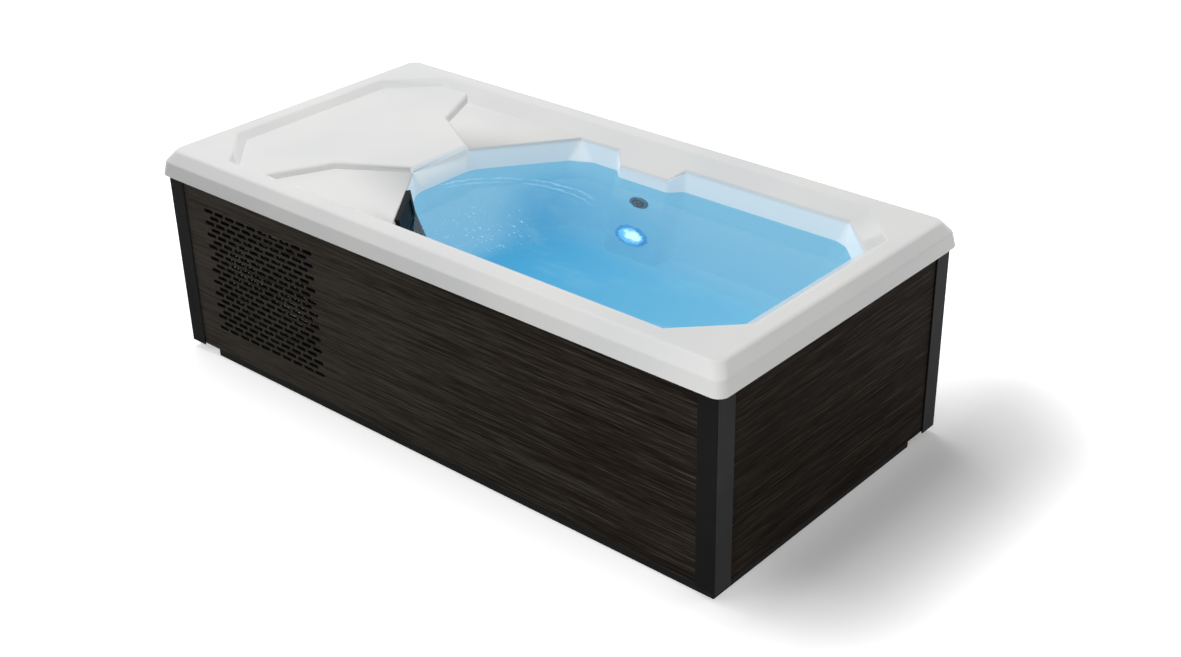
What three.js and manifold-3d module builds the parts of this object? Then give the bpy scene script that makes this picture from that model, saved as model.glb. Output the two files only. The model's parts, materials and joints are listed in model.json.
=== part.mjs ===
// A cold plunge tub: a moulded shell in a panelled cabinet, with its chiller and pump under the deck.
// Millimetres, +Z up. The origin is on the floor under the middle of the tub, and +X runs to the foot end.
import * as THREE from "three";
import { mergeVertices } from "three/addons/utils/BufferGeometryUtils.js";
import Module from "manifold-3d";

const wasm = await Module();
wasm.setup();

// Overall size
const length = 2134;
const width = 1078;
const height = 678;

// Clearances
const seatGap = 0.3; // between pieces that rest on each other
const runGap = 0.5; // round pieces that turn or slide
const overcut = 10; // how far a cut runs past the face that it opens

// Sides and steps of round shapes
const barSides = 24;
const smallSides = 16;
const turnedSides = 32;
const ductSides = 40;
const hoseSides = 8;
const rimCornerSteps = 5;
const nutSides = 6;

// Shell: rim
const shellWall = 8;
const rimHeight = 79;
const rimDraft = 8;
const rimChamferRun = 26;
const rimChamferRise = 35;
const rimCornerRadius = 22;
const rimInset = 84; // outer edge to the recess
const recessCut = 157; // corner cut of the recess, measured along each side
const slopeRun = 55;
const slopeDrop = 38;

// Shell: deck at the head end
const deckLength = 673; // outer edge to the basin
const plateauRise = 18;
const stepRun = 10;
const plateauShoulder = 390; // where the plateau starts to narrow, from the outer edge
const plateauWaist = 467;
const plateauWaistHalf = 239;

// Shell: basin
const headHalf = 119; // half of the narrow head wall
const headCut = 217; // run of the two slanting head walls along the tub
const wallDraft = 0.14; // inward lean for each millimetre of depth
const footDraft = 0.27;
const floorHeight = 90;
const coveRise = 50;
const coveRun = 40;
const facetDepth = 65; // corner facets grow down to this depth below the lip
const headFacet = 18;
const sideFacet = 45;
const footFacet = 24;
const facetStart = 2;

// Shell: pilaster on the back wall
const pilasterStart = 1073; // outer head edge to the pilaster's face
const pilasterWidth = 186;
const pilasterReach = 37;

// Cabinet
const postInset = 18; // rim edge to the cabinet's face
const postWall = 4;
const postLeg = 65;
const postChamfer = 4; // outer corner, clear of the rim's rounded corner
const postBottom = 25;
const panelWall = 9.7;
const panelBottom = 31;
const panelEndInset = 40;
const cladDrop = 48; // rim's top to the top of posts and panels, behind its skirt
const baseHeight = 27;
const baseSideInset = 30;
const baseEndInset = 32;
const notchLong = 105; // cut-away corners of the base
const notchShort = 92;
const rail = 38;
const railBottomHeight = 40;
const railDrop = 22; // rim's top to the top of the upper rails
const stripInset = 44;
const stripWidth = 24;
const boardWall = 20;
const boardStart = 920; // front and back insulation starts this far from the head end
const floorBlockFromDrain = 84; // drain's axis to the block
const floorBlockLength = 820;
const floorBlockWidth = 520;

// Grille in the front panel
const grilleFromBasin = 501; // basin's lip back to the first slot
const grilleBottom = 121; // middle of the lowest row
const slotRows = 21;
const slotColumns = 10;
const slotPitch = 50;
const rowPitch = 20;
const slotLength = 42;
const slotHeight = 11.5;

// Filter cover and skimmer on the front slanting wall, measured in that wall's own frame
const coverFromCorner = 126; // wall's foot corner to the cover's middle
const coverWidth = 206;
const coverWall = 14;
const coverTall = 280;
const windowWidth = 160;
const windowTop = 15;
const windowTall = 75;
const louvreCount = 6;
const louvreTall = 12;
const louvrePitch = 28;
const louvreTop = 112;
const mouthWidth = 176;
const mouthTop = 12;
const mouthTall = 256;
const skimmerDepth = 142;
const skimmerWall = 5;
const flapWall = 6;
const flapTail = 4; // flap below its pin's middle
const flapGap = 2; // round the flap in its window
const pinRadius = 3;
const pinReach = 4; // pin in the cover's side
const outletRadius = 20;
const outletLength = 26;
const filterRadius = 50;
const filterPleat = 9;
const pleatCount = 24;
const filterTall = 150;

// Return jet and lamp on the pilaster
const jetFromEdge = 95; // pilaster's head edge to the jet's axis
const jetHeight = 453;
const jetRingRadius = 35;
const jetRingWall = 7;
const jetBodyRadius = 24;
const jetBoreRadius = 19;
const jetBodyLength = 92;
const jetHoleRadius = 8;
const nozzleReach = 10.5;
const nozzleLip = 2;
const barbRadius = 15;
const barbLength = 60;
const lampFromEdge = 90;
const lampHeight = 231;
const lampRingRadius = 62;
const lampRingWall = 9;
const lampLensRadius = 47;
const lampDome = 7;
const lampBodyRadius = 44;
const lampBodyLength = 64;

// Drain
const drainFromHead = 190; // basin's head lip to the drain's axis
const drainFromMiddle = 70; // towards the front
const drainFlangeRadius = 45;
const drainFlangeWall = 4;
const drainBodyRadius = 28;
const drainBodyBottom = 36;
const drainPort = 58; // height of the side port
const drainHoseRadius = 13;
const drainHoseBend = 39;
const valveFromBasin = 86;
const valveHeight = 110;
const valveRadius = 15;
const valveLength = 60;
const valveOutletRadius = 11;
const valveOutletReach = 8; // past the back panel's face
const stemRadius = 6;
const stemTall = 16;
const leverLength = 70;
const leverWidth = 16;
const leverWall = 8;

// Chiller
const shroudWidth = 500;
const shroudTall = 410;
const shroudDepth = 90;
const shroudWall = 4;
const fanRadius = 165;
const fanTipGap = 7;
const hubRadius = 48;
const hubDepth = 34;
const bladeCount = 5;
const bladeChord = 74;
const bladeWall = 4;
const bladePitch = 24; // degrees
const fanShaftRadius = 6;
const fanShaftLength = 22;
const fanMotorRadius = 42;
const fanMotorLength = 40;
const bracketTall = 60;
const bracketWall = 4;
const coilDepth = 40;
const compressorFromBasin = 413;
const compressorFromMiddle = 200; // towards the front
const compressorRadius = 75;
const compressorTall = 270;
const compressorFoot = 180;
const footWall = 6;
const stubRadius = 9;
const stubLength = 20;
const exchangerFromBasin = 526;
const exchangerFromMiddle = 150; // towards the back
const exchangerRadius = 70;
const exchangerLength = 400;
const exchangerHeight = 130;
const saddleWidth = 90;
const portRadius = 18;
const portLength = 24;
const waterPort = 320; // along the exchanger
const gasPort = 80;
const liquidPort = 180;
const lineRadius = 6;
const lineRise = 90; // bends of the copper lines above their ports
const lineBend = 30;

// Pump
const pumpFromBasin = 83; // basin's lip back to the face of the pump head that meets the motor
const pumpFromMiddle = 170;
const pumpHeight = 110;
const headRadius = 72;
const headDepth = 40;
const chamberRadius = 56;
const chamberDepth = 26;
const inletLength = 24;
const inletBore = 13;
const impellerRadius = 50;
const impellerDepth = 14;
const impellerShaftRadius = 8;
const impellerShaftLength = 40;
const motorRadius = 58;
const motorLength = 210;
const motorFootLength = 140;
const motorFootWidth = 100;
const pumpOutletOffset = 46;
const pumpOutletTop = 205;
const hoseRadius = 17;
const hoseStraight = 68;
const hoseBend = 34;
const hoseStep = 41;
const returnBend = 27;
const inletRun = 102; // of the skimmer's hose, straight before the pump

// Control box and cable gland on the back panel
const controlFromHead = 170;
const controlLength = 240;
const controlDepth = 90;
const controlGap = 38; // upper rail to the control box
const controlTall = 220;
const glandFromHead = 120;
const glandHeight = 110;
const glandRadius = 11;
const glandNutRadius = 17;
const glandNutWall = 7;

// Places worked out from the sizes above
const head = -length / 2;
const foot = length / 2;
const front = -width / 2;
const back = width / 2;
const panelInset = postInset + postWall + seatGap;
const frameInset = panelInset + panelWall + seatGap;
const cladTop = height - cladDrop;
const railTop = height - railDrop;
const lipHeight = height - slopeDrop;
const rimBottom = height - rimHeight;
const basinHead = head + deckLength;
const basinFoot = foot - rimInset - slopeRun;
const basinHalf = width / 2 - rimInset - slopeRun;
const wallTilt = Math.atan(wallDraft);
const cutShrink = 2 - Math.SQRT2; // how much a 45 degree corner cut loses for each millimetre of offset
const grilleStart = basinHead - grilleFromBasin;
const grilleMiddle = grilleStart + ((slotColumns - 1) * slotPitch + slotLength) / 2;
const grilleHeight = grilleBottom + ((slotRows - 1) * rowPitch) / 2;
const bayFloor = baseHeight + seatGap;
const drainX = basinHead + drainFromHead;
const drainY = -drainFromMiddle;

// A geometry with shared vertices and no collapsed triangles.
function closed(geometry) {
  const bare = geometry.clone();
  bare.deleteAttribute("normal");
  bare.deleteAttribute("uv");
  const merged = mergeVertices(bare, 1e-4);
  const corners = merged.index.array;
  const kept = [];
  for (let i = 0; i < corners.length; i += 3) {
    const [a, b, c] = corners.slice(i, i + 3);
    if (a !== b && b !== c && c !== a) kept.push(a, b, c);
  }
  return merged.setIndex(kept);
}

function solid(geometry) {
  const shape = closed(geometry);
  const vertProperties = shape.attributes.position.array;
  const triVerts = new Uint32Array(shape.index.array);
  return new wasm.Manifold(new wasm.Mesh({ numProp: 3, vertProperties, triVerts }));
}

function geometryOf(body) {
  const mesh = body.getMesh();
  const geometry = new THREE.BufferGeometry();
  geometry.setAttribute("position", new THREE.BufferAttribute(mesh.vertProperties, 3));
  return geometry.setIndex(new THREE.BufferAttribute(mesh.triVerts, 1));
}

function join(first, ...others) {
  return geometryOf(others.reduce((body, other) => body.add(solid(other)), solid(first)));
}

function cut(first, ...others) {
  return geometryOf(others.reduce((body, other) => body.subtract(solid(other)), solid(first)));
}

function common(first, second) {
  return geometryOf(solid(first).intersect(solid(second)));
}

function box(low, high) {
  const size = high.map((value, i) => value - low[i]);
  const middle = high.map((value, i) => (value + low[i]) / 2);
  return new THREE.BoxGeometry(...size).translate(...middle);
}

function shapeOf(outline) {
  return new THREE.Shape(outline.map(([x, y]) => new THREE.Vector2(x, y)));
}

// A flat outline raised from one height to another.
function slab(shape, low, high) {
  return new THREE.ExtrudeGeometry(shape, { depth: high - low, bevelEnabled: false }).translate(0, 0, low);
}

// A round bar along Y, from one place to another.
function barY(radius, low, high, sides = barSides) {
  return new THREE.CylinderGeometry(radius, radius, high - low, sides).translate(0, (low + high) / 2, 0);
}

function barX(radius, low, high, sides = barSides) {
  return barY(radius, low, high, sides).rotateZ(-Math.PI / 2);
}

function barZ(radius, low, high, sides = barSides) {
  return barY(radius, low, high, sides).rotateX(Math.PI / 2);
}

// A profile of [radius, height] points turned about Y.
function turned(profile, sides = turnedSides) {
  return new THREE.LatheGeometry(profile.map(([r, y]) => new THREE.Vector2(r, y)), sides);
}

// Outlines of equal point count, counterclockwise from above, joined from the lowest to the highest.
function loft(sections) {
  const count = sections[0].outline.length;
  const positions = sections.flatMap(({ z, outline }) => outline.flatMap(([x, y]) => [x, y, z]));
  const index = [];
  for (let level = 0; level < sections.length - 1; level++) {
    for (let i = 0; i < count; i++) {
      const a = level * count + i;
      const b = level * count + ((i + 1) % count);
      index.push(a, b, b + count, a, b + count, a + count);
    }
  }
  const capOf = (section) =>
    THREE.ShapeUtils.triangulateShape(section.outline.map(([x, y]) => new THREE.Vector2(x, y)), []);
  const top = (sections.length - 1) * count;
  capOf(sections[0]).forEach(([a, b, c]) => index.push(c, b, a));
  capOf(sections.at(-1)).forEach(([a, b, c]) => index.push(top + a, top + b, top + c));
  const geometry = new THREE.BufferGeometry();
  return geometry.setAttribute("position", new THREE.Float32BufferAttribute(positions, 3)).setIndex(index);
}

// A counterclockwise outline moved outwards, with mitred corners.
function offset(outline, distance) {
  const outward = (from, to) => {
    const run = Math.hypot(to[0] - from[0], to[1] - from[1]);
    return [(to[1] - from[1]) / run, (from[0] - to[0]) / run];
  };
  return outline.map((point, i) => {
    const one = outward(outline.at(i - 1), point);
    const two = outward(point, outline[(i + 1) % outline.length]);
    const reach = distance / (1 + one[0] * two[0] + one[1] * two[1]);
    return [point[0] + (one[0] + two[0]) * reach, point[1] + (one[1] + two[1]) * reach];
  });
}

// Each corner replaced by a short edge that starts and ends the given distance from it.
function cutCorners(outline, cuts) {
  return outline.flatMap((point, i) => {
    const towards = (other) => {
      const run = Math.hypot(other[0] - point[0], other[1] - point[1]);
      return [0, 1].map((k) => point[k] + ((other[k] - point[k]) * cuts[i]) / run);
    };
    return [towards(outline.at(i - 1)), towards(outline[(i + 1) % outline.length])];
  });
}

function rectangle(halfX, halfY) {
  return [
    [-halfX, -halfY],
    [halfX, -halfY],
    [halfX, halfY],
    [-halfX, halfY],
  ];
}

// A round hose or pipe through the given points, with straight ends and rounded bends.
function pipe(points, radius, bend, step) {
  const route = new THREE.CurvePath();
  let from = points[0];
  for (let i = 1; i < points.length - 1; i++) {
    const corner = points[i];
    const enter = corner.clone().add(points[i - 1].clone().sub(corner).setLength(bend));
    const leave = corner.clone().add(points[i + 1].clone().sub(corner).setLength(bend));
    route.add(new THREE.LineCurve3(from, enter));
    route.add(new THREE.QuadraticBezierCurve3(enter, corner, leave));
    from = leave;
  }
  route.add(new THREE.LineCurve3(from, points.at(-1)));
  const section = new THREE.Shape();
  section.setFromPoints(
    Array.from({ length: hoseSides }, (_, i) =>
      new THREE.Vector2(radius, 0).rotateAround(new THREE.Vector2(), (i * Math.PI * 2) / hoseSides),
    ),
  );
  const steps = Math.ceil(route.getLength() / step);
  return new THREE.ExtrudeGeometry(section, { steps, bevelEnabled: false, extrudePath: route });
}

function paint(color, roughness, metalness = 0) {
  return new THREE.MeshStandardMaterial({ color, roughness, metalness });
}

const looks = {
  acrylic: () => paint("#e6e6e4", 0.25),
  panel: () => paint("#241f1b", 0.6),
  post: () => paint("#232323", 0.5),
  black: () => paint("#141414", 0.55),
  timber: () => paint("#b08a5a", 0.8),
  foam: () => paint("#d9cfae", 0.9),
  board: () => paint("#c9d3d8", 0.85),
  steel: () => paint("#9a9ea3", 0.35, 0.9),
  enamel: () => paint("#1b1c1f", 0.4, 0.3),
  copper: () => paint("#b4693c", 0.35, 0.9),
  fins: () => paint("#b9bcc0", 0.45, 0.8),
  hose: () => paint("#cfd4d6", 0.5),
  grey: () => paint("#7d8285", 0.55),
  paper: () => paint("#f0f1ee", 0.9),
  lens: () => paint("#bfe6ff", 0.1),
  lampRing: () => paint("#1a86c4", 0.3),
  red: () => paint("#a3201d", 0.5),
};

function piece(name, geometry, material) {
  const shape = closed(geometry).toNonIndexed();
  shape.computeVertexNormals();
  const mesh = new THREE.Mesh(shape, material);
  mesh.name = name;
  return mesh;
}

function groupOf(...pieces) {
  return new THREE.Group().add(...pieces);
}

// Shell outlines

function rimOutline(inset, radius) {
  const centres = rectangle(width / 2 - inset - radius, width / 2 - inset - radius);
  const stretch = (length - width) / 2;
  return centres.flatMap(([x, y], corner) =>
    Array.from({ length: rimCornerSteps + 1 }, (_, i) => {
      const turn = Math.PI + (corner + i / rimCornerSteps) * (Math.PI / 2);
      return [x + Math.sign(x) * stretch + radius * Math.cos(turn), y + radius * Math.sin(turn)];
    }),
  );
}

function recessOutline(inset) {
  const cuts = recessCut - (inset - rimInset) * cutShrink;
  return cutCorners(rectangle(length / 2 - inset, width / 2 - inset), Array(4).fill(cuts));
}

const footCut = recessCut - slopeRun * cutShrink;
const basinLip = [
  [basinHead, -headHalf],
  [basinHead + headCut, -basinHalf],
  [basinFoot - footCut, -basinHalf],
  [basinFoot, footCut - basinHalf],
  [basinFoot, basinHalf - footCut],
  [basinFoot - footCut, basinHalf],
  [basinHead + headCut, basinHalf],
  [basinHead, headHalf],
];
// One facet for each corner of the lip: the filter cover's corner stays sharp.
const basinFacets = [
  headFacet,
  facetStart,
  footFacet,
  footFacet,
  footFacet,
  footFacet,
  sideFacet,
  headFacet,
];

// The basin's outline at a height, drawn in by an inset, with drafted walls and facets in the corners.
function basinOutline(z, inset = 0) {
  const depth = lipHeight - z;
  const footShift = (footDraft - wallDraft) * depth;
  const leaning = offset(basinLip, -wallDraft * depth - inset);
  const walls = leaning.map(([x, y], i) => [i > 1 && i < 6 ? x - footShift : x, y]);
  const grown = Math.min(depth / facetDepth, 1);
  const facets = basinFacets.map((facet) => facetStart + (facet - facetStart) * grown);
  return cutCorners(walls, facets);
}

const coveTop = floorHeight + coveRise;
const basinLevels = [
  { z: floorHeight, outline: basinOutline(coveTop, coveRun) },
  { z: coveTop, outline: basinOutline(coveTop) },
  { z: lipHeight - facetDepth, outline: basinOutline(lipHeight - facetDepth) },
  { z: lipHeight, outline: basinOutline(lipHeight) },
];

// The plateau's edge at the level of the shelves beside it.
const shoulderSlant = (plateauWaist - plateauShoulder) / (basinHalf - plateauWaistHalf);
const plateauEnd = head + plateauShoulder - shoulderSlant * slopeRun;
const plateauOutline = [
  [head, -(basinHalf + slopeRun)],
  [plateauEnd, -(basinHalf + slopeRun)],
  [head + plateauWaist, -plateauWaistHalf],
  [basinHead, -headHalf],
  [basinHead + stepRun * 2, -headHalf],
  [basinHead + stepRun * 2, headHalf],
  [basinHead, headHalf],
  [head + plateauWaist, plateauWaistHalf],
  [plateauEnd, basinHalf + slopeRun],
  [head, basinHalf + slopeRun],
];

// Pilaster on the back wall: it shares the wall's lean, and its top continues the recess's slope.
const pilasterHead = head + pilasterStart;

function pilasterFace(z) {
  return basinHalf - pilasterReach - wallDraft * (lipHeight - z);
}

function pilasterBlock(inset) {
  const tip = inset * (Math.SQRT2 - 1);
  const behind = shellWall + overcut;
  const flare = pilasterReach + behind - inset;
  const headEdge = pilasterHead + tip;
  const footEdge = pilasterHead + pilasterWidth - tip;
  const sectionAt = (z) => {
    const face = pilasterFace(z) + inset;
    const outline = [
      [headEdge - flare, face + flare],
      [headEdge, face],
      [footEdge, face],
      [footEdge + flare, face + flare],
    ];
    return { z, outline };
  };
  const block = loft([sectionAt(floorHeight - shellWall - overcut), sectionAt(height)]);
  const sink = (inset * Math.hypot(slopeRun, slopeDrop)) / slopeRun;
  const above = shapeOf([
    [basinHalf + slopeRun * 2, lipHeight + slopeDrop * 2 - sink],
    [basinHalf + slopeRun * 2, height * 2],
    [basinHalf - slopeRun * 2, height * 2],
    [basinHalf - slopeRun * 2, lipHeight - slopeDrop * 2 - sink],
  ]);
  const sky = slab(above, head, foot).applyMatrix4(
    new THREE.Matrix4().makeBasis(
      new THREE.Vector3(0, 1, 0),
      new THREE.Vector3(0, 0, 1),
      new THREE.Vector3(1, 0, 0),
    ),
  );
  return cut(block, sky);
}

// Frame of a fitting on the pilaster's face: its Y axis points square out of the face.
function pilasterPlace(x, z) {
  return new THREE.Matrix4().makeRotationX(Math.PI - wallTilt).setPosition(x, pilasterFace(z), z);
}

const jetPlace = pilasterPlace(pilasterHead + jetFromEdge, jetHeight);
const lampPlace = pilasterPlace(pilasterHead + lampFromEdge, lampHeight);

// Frame of the front slanting wall: X along it to the foot end, Y square into the basin, Z up the wall.
const wallRun = Math.hypot(headCut, basinHalf - headHalf);
const wallAlong = new THREE.Vector3(headCut, headHalf - basinHalf, 0).normalize();
const wallInward = new THREE.Vector3(-wallAlong.y, wallAlong.x, 0);
const wallOut = wallInward.clone().multiplyScalar(Math.cos(wallTilt)).setZ(Math.sin(wallTilt));
const wallUp = wallInward.clone().multiplyScalar(-Math.sin(wallTilt)).setZ(Math.cos(wallTilt));
const coverMiddle = new THREE.Vector3(basinHead, -headHalf, lipHeight);
coverMiddle.addScaledVector(wallAlong, wallRun - coverFromCorner);
const coverPlace = new THREE.Matrix4().makeBasis(wallAlong, wallOut, wallUp).setPosition(coverMiddle);

function placed(matrix, ...pieces) {
  const group = groupOf(...pieces);
  group.applyMatrix4(matrix);
  return group;
}

function makeShell() {
  const skin = (inset, z) => ({ z, outline: rimOutline(inset, rimCornerRadius) });
  const lining = (inset, z) => ({ z, outline: rimOutline(inset, rimCornerRadius - shellWall) });
  const shoulder = height - rimChamferRise;
  const rimOuter = loft([
    skin(0, rimBottom),
    skin(rimDraft, shoulder),
    skin(rimDraft + rimChamferRun, height),
  ]);
  const chamferShift = (shellWall * Math.hypot(rimChamferRun, rimChamferRise)) / rimChamferRise;
  const hollowTop = rimDraft + rimChamferRun + chamferShift - (shellWall * rimChamferRun) / rimChamferRise;
  const rimHollow = loft([
    lining(shellWall, rimBottom - overcut),
    lining(rimDraft + shellWall, shoulder - shellWall / 2),
    lining(hollowTop, height - shellWall),
  ]);
  const slopeShift = (shellWall * Math.hypot(slopeRun, slopeDrop)) / slopeDrop;
  const slopeRate = slopeRun / slopeDrop;
  const recessBottom = rimInset + slopeRun - slopeShift + shellWall * slopeRate;
  const recessOuter = loft([
    { z: lipHeight - shellWall, outline: recessOutline(recessBottom) },
    { z: height, outline: recessOutline(rimInset - slopeShift) },
  ]);
  const basinOuter = loft([
    { z: floorHeight - shellWall, outline: offset(basinLevels[0].outline, shellWall) },
    ...basinLevels.slice(1, 3).map(({ z, outline }) => ({ z, outline: offset(outline, shellWall) })),
    { z: lipHeight - shellWall / 4, outline: offset(basinLevels[3].outline, shellWall) },
  ]);
  const plateau = loft([
    { z: lipHeight - plateauRise, outline: offset(plateauOutline, stepRun) },
    { z: lipHeight + plateauRise, outline: offset(plateauOutline, -stepRun) },
  ]);
  const recessInner = loft([
    { z: lipHeight, outline: recessOutline(rimInset + slopeRun) },
    { z: height + overcut, outline: recessOutline(rimInset - overcut * slopeRate) },
  ]);
  const basinInner = loft([...basinLevels, { z: height + overcut, outline: basinLevels[3].outline }]);
  const underLow = lipHeight - shellWall - overcut;
  const underHigh = lipHeight + plateauRise - shellWall;
  const basinWall = offset(basinLevels[3].outline, shellWall);
  const plateauHollow = cut(
    common(
      slab(shapeOf(offset(plateauOutline, -stepRun - shellWall)), underLow, underHigh),
      slab(shapeOf(recessOutline(rimInset + slopeRun + shellWall)), underLow, underHigh),
    ),
    slab(shapeOf(basinWall), underLow - overcut, height),
  );
  const through = shellWall + overcut;
  const drainHole = barZ(drainBodyRadius + runGap, floorHeight - through, floorHeight + overcut);
  return cut(
    join(cut(rimOuter, rimHollow), recessOuter, basinOuter),
    cut(recessInner, plateau),
    cut(basinInner, pilasterBlock(0)),
    pilasterBlock(shellWall),
    plateauHollow,
    drainHole.translate(drainX, drainY, 0),
    box(
      [-mouthWidth / 2, -through, -mouthTop - mouthTall],
      [mouthWidth / 2, overcut, -mouthTop],
    ).applyMatrix4(coverPlace),
    barY(jetBodyRadius + runGap, -through, overcut).applyMatrix4(jetPlace),
    barY(lampBodyRadius + runGap, -through, overcut).applyMatrix4(lampPlace),
  );
}

// Cabinet

function makeBase() {
  const endX = length / 2 - baseEndInset;
  const sideY = width / 2 - baseSideInset;
  const outline = [
    [-endX + notchLong, -sideY],
    [endX, -sideY],
    [endX, sideY - notchLong],
    [endX - notchShort, sideY - notchLong],
    [endX - notchShort, sideY],
    [-endX, sideY],
    [-endX, -sideY + notchShort],
    [-endX + notchLong, -sideY + notchShort],
  ];
  return slab(shapeOf(outline), 0, baseHeight);
}

function makePost(towardsFoot, towardsBack) {
  const outline = [
    [0, postChamfer],
    [postChamfer, 0],
    [postLeg, 0],
    [postLeg, postWall],
    [postWall, postWall],
    [postWall, postLeg],
    [0, postLeg],
  ];
  const mirrored = towardsFoot !== towardsBack;
  const placedOutline = outline.map(([x, y]) => [
    towardsFoot ? foot - postInset - x : head + postInset + x,
    towardsBack ? back - postInset - y : front + postInset + y,
  ]);
  return slab(shapeOf(mirrored ? placedOutline.reverse() : placedOutline), postBottom, cladTop);
}

function makeFrontPanel() {
  const outer = front + panelInset;
  const inner = outer + panelWall;
  const slots = [];
  for (let row = 0; row < slotRows; row++) {
    const shifted = row % 2;
    for (let column = 0; column < slotColumns - shifted; column++) {
      const x = grilleStart + (column + shifted / 2) * slotPitch;
      const z = grilleBottom + row * rowPitch - slotHeight / 2;
      slots.push(box([x, outer - overcut, z], [x + slotLength, inner + overcut, z + slotHeight]));
    }
  }
  const board = box([head + panelEndInset, outer, panelBottom], [foot - panelEndInset, inner, cladTop]);
  return cut(board, ...slots);
}

const valveX = basinHead - valveFromBasin;
const glandX = head + glandFromHead;

function makeBackPanel() {
  const outer = back - panelInset;
  const inner = outer - panelWall;
  const hole = (radius, x, z) => barY(radius + runGap, inner - overcut, outer + overcut).translate(x, 0, z);
  return cut(
    box([head + panelEndInset, inner, panelBottom], [foot - panelEndInset, outer, cladTop]),
    hole(valveOutletRadius, valveX, valveHeight),
    hole(glandRadius, glandX, glandHeight),
  );
}

function makeEndPanel(outer, inner) {
  const low = [Math.min(outer, inner), front + panelEndInset, panelBottom];
  const high = [Math.max(outer, inner), back - panelEndInset, cladTop];
  return box(low, high);
}

function makePanels() {
  return groupOf(
    piece("front_panel", makeFrontPanel(), looks.panel()),
    piece("back_panel", makeBackPanel(), looks.panel()),
    piece("head_panel", makeEndPanel(head + panelInset, head + panelInset + panelWall), looks.panel()),
    piece("foot_panel", makeEndPanel(foot - panelInset, foot - panelInset - panelWall), looks.panel()),
    piece("corner_post_front_head", makePost(false, false), looks.post()),
    piece("corner_post_front_foot", makePost(true, false), looks.post()),
    piece("corner_post_back_head", makePost(false, true), looks.post()),
    piece("corner_post_back_foot", makePost(true, true), looks.post()),
    piece("base_pan", makeBase(), looks.black()),
  );
}

// Frame of rails and uprights inside the panels
function makeFrame() {
  const endX = length / 2 - frameInset;
  const sideY = width / 2 - frameInset;
  const inX = endX - rail;
  const inY = sideY - rail;
  const frame = new THREE.Group();
  const ring = (tier, low, high) => {
    const add = (side, from, to) =>
      frame.add(piece(`${tier}_rail_${side}`, box([...from, low], [...to, high]), looks.timber()));
    add("front", [-endX, -sideY], [endX, -inY]);
    add("back", [-endX, inY], [endX, sideY]);
    add("head", [-endX, -inY + seatGap], [-inX, inY - seatGap]);
    add("foot", [inX, -inY + seatGap], [endX, inY - seatGap]);
  };
  const bottomTop = bayFloor + railBottomHeight;
  const topBottom = railTop - rail;
  ring("bottom", bayFloor, bottomTop);
  ring("top", topBottom, railTop);
  for (const [x, end] of [[-endX, "head"], [inX, "foot"]]) {
    for (const [y, side] of [[-sideY, "front"], [inY, "back"]]) {
      const post = box([x, y, bottomTop + seatGap], [x + rail, y + rail, topBottom - seatGap]);
      frame.add(piece(`upright_${side}_${end}`, post, looks.timber()));
    }
  }
  const stripOuter = rectangle(length / 2 - stripInset, width / 2 - stripInset);
  const strip = shapeOf(stripOuter);
  strip.holes.push(shapeOf(offset(stripOuter, -stripWidth).reverse()));
  const stripTop = height - shellWall - seatGap;
  frame.add(piece("rim_strip", slab(strip, railTop + seatGap, stripTop), looks.black()));
  return frame;
}

function makeInsulation() {
  const sideY = width / 2 - frameInset;
  const endX = length / 2 - frameInset;
  const low = bayFloor + railBottomHeight + seatGap;
  const high = railTop - rail - seatGap;
  const start = head + boardStart;
  const end = endX - rail - seatGap;
  const half = sideY - rail - seatGap;
  const blockStart = drainX + floorBlockFromDrain;
  return groupOf(
    piece("front_board", box([start, -sideY, low], [end, boardWall - sideY, high]), looks.board()),
    piece("back_board", box([start, sideY - boardWall, low], [end, sideY, high]), looks.board()),
    piece("foot_board", box([endX - boardWall, -half, low], [endX, half, high]), looks.board()),
    piece(
      "floor_block",
      box(
        [blockStart, -floorBlockWidth / 2, bayFloor],
        [blockStart + floorBlockLength, floorBlockWidth / 2, floorHeight - shellWall - seatGap],
      ),
      looks.foam(),
    ),
  );
}

// Filter cover, weir flap and skimmer on the front slanting wall
const windowBottom = -windowTop - windowTall;
const pinHeight = windowBottom + flapTail + pinRadius;
const coverMid = seatGap + coverWall / 2;
const bodyFace = -shellWall - seatGap;
const bodyBottom = -mouthTop - mouthTall - skimmerWall;
const filterMiddle = bodyFace - skimmerDepth / 2;

function makePin(clearance) {
  const reach = windowWidth / 2 + pinReach + clearance;
  return barX(pinRadius + clearance, -reach, reach, smallSides).translate(0, coverMid, pinHeight);
}

function makeCover() {
  const half = windowWidth / 2;
  const opening = (high, low) => box([-half, -overcut, low], [half, coverWall + overcut, high]);
  const louvres = Array.from({ length: louvreCount }, (_, i) => {
    const top = -louvreTop - i * louvrePitch;
    return opening(top, top - louvreTall);
  });
  return cut(
    box([-coverWidth / 2, seatGap, -coverTall], [coverWidth / 2, seatGap + coverWall, 0]),
    opening(-windowTop, windowBottom),
    ...louvres,
    makePin(runGap),
  );
}

function makeFlap() {
  const half = windowWidth / 2 - flapGap;
  const plate = box(
    [-half, coverMid - flapWall / 2, pinHeight - flapTail],
    [half, coverMid + flapWall / 2, -windowTop - flapGap],
  );
  return join(plate, makePin(0));
}

function makeSkimmer() {
  const half = mouthWidth / 2;
  const deep = bodyFace - skimmerDepth;
  const outer = box(
    [-half - skimmerWall, deep, bodyBottom],
    [half + skimmerWall, bodyFace, skimmerWall - mouthTop],
  );
  const inner = box(
    [-half, deep + skimmerWall, bodyBottom + skimmerWall],
    [half, bodyFace + overcut, -mouthTop],
  );
  const spout = barZ(outletRadius, bodyBottom - outletLength, bodyBottom + skimmerWall / 2);
  return join(cut(outer, inner), spout.translate(0, filterMiddle, 0));
}

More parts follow.
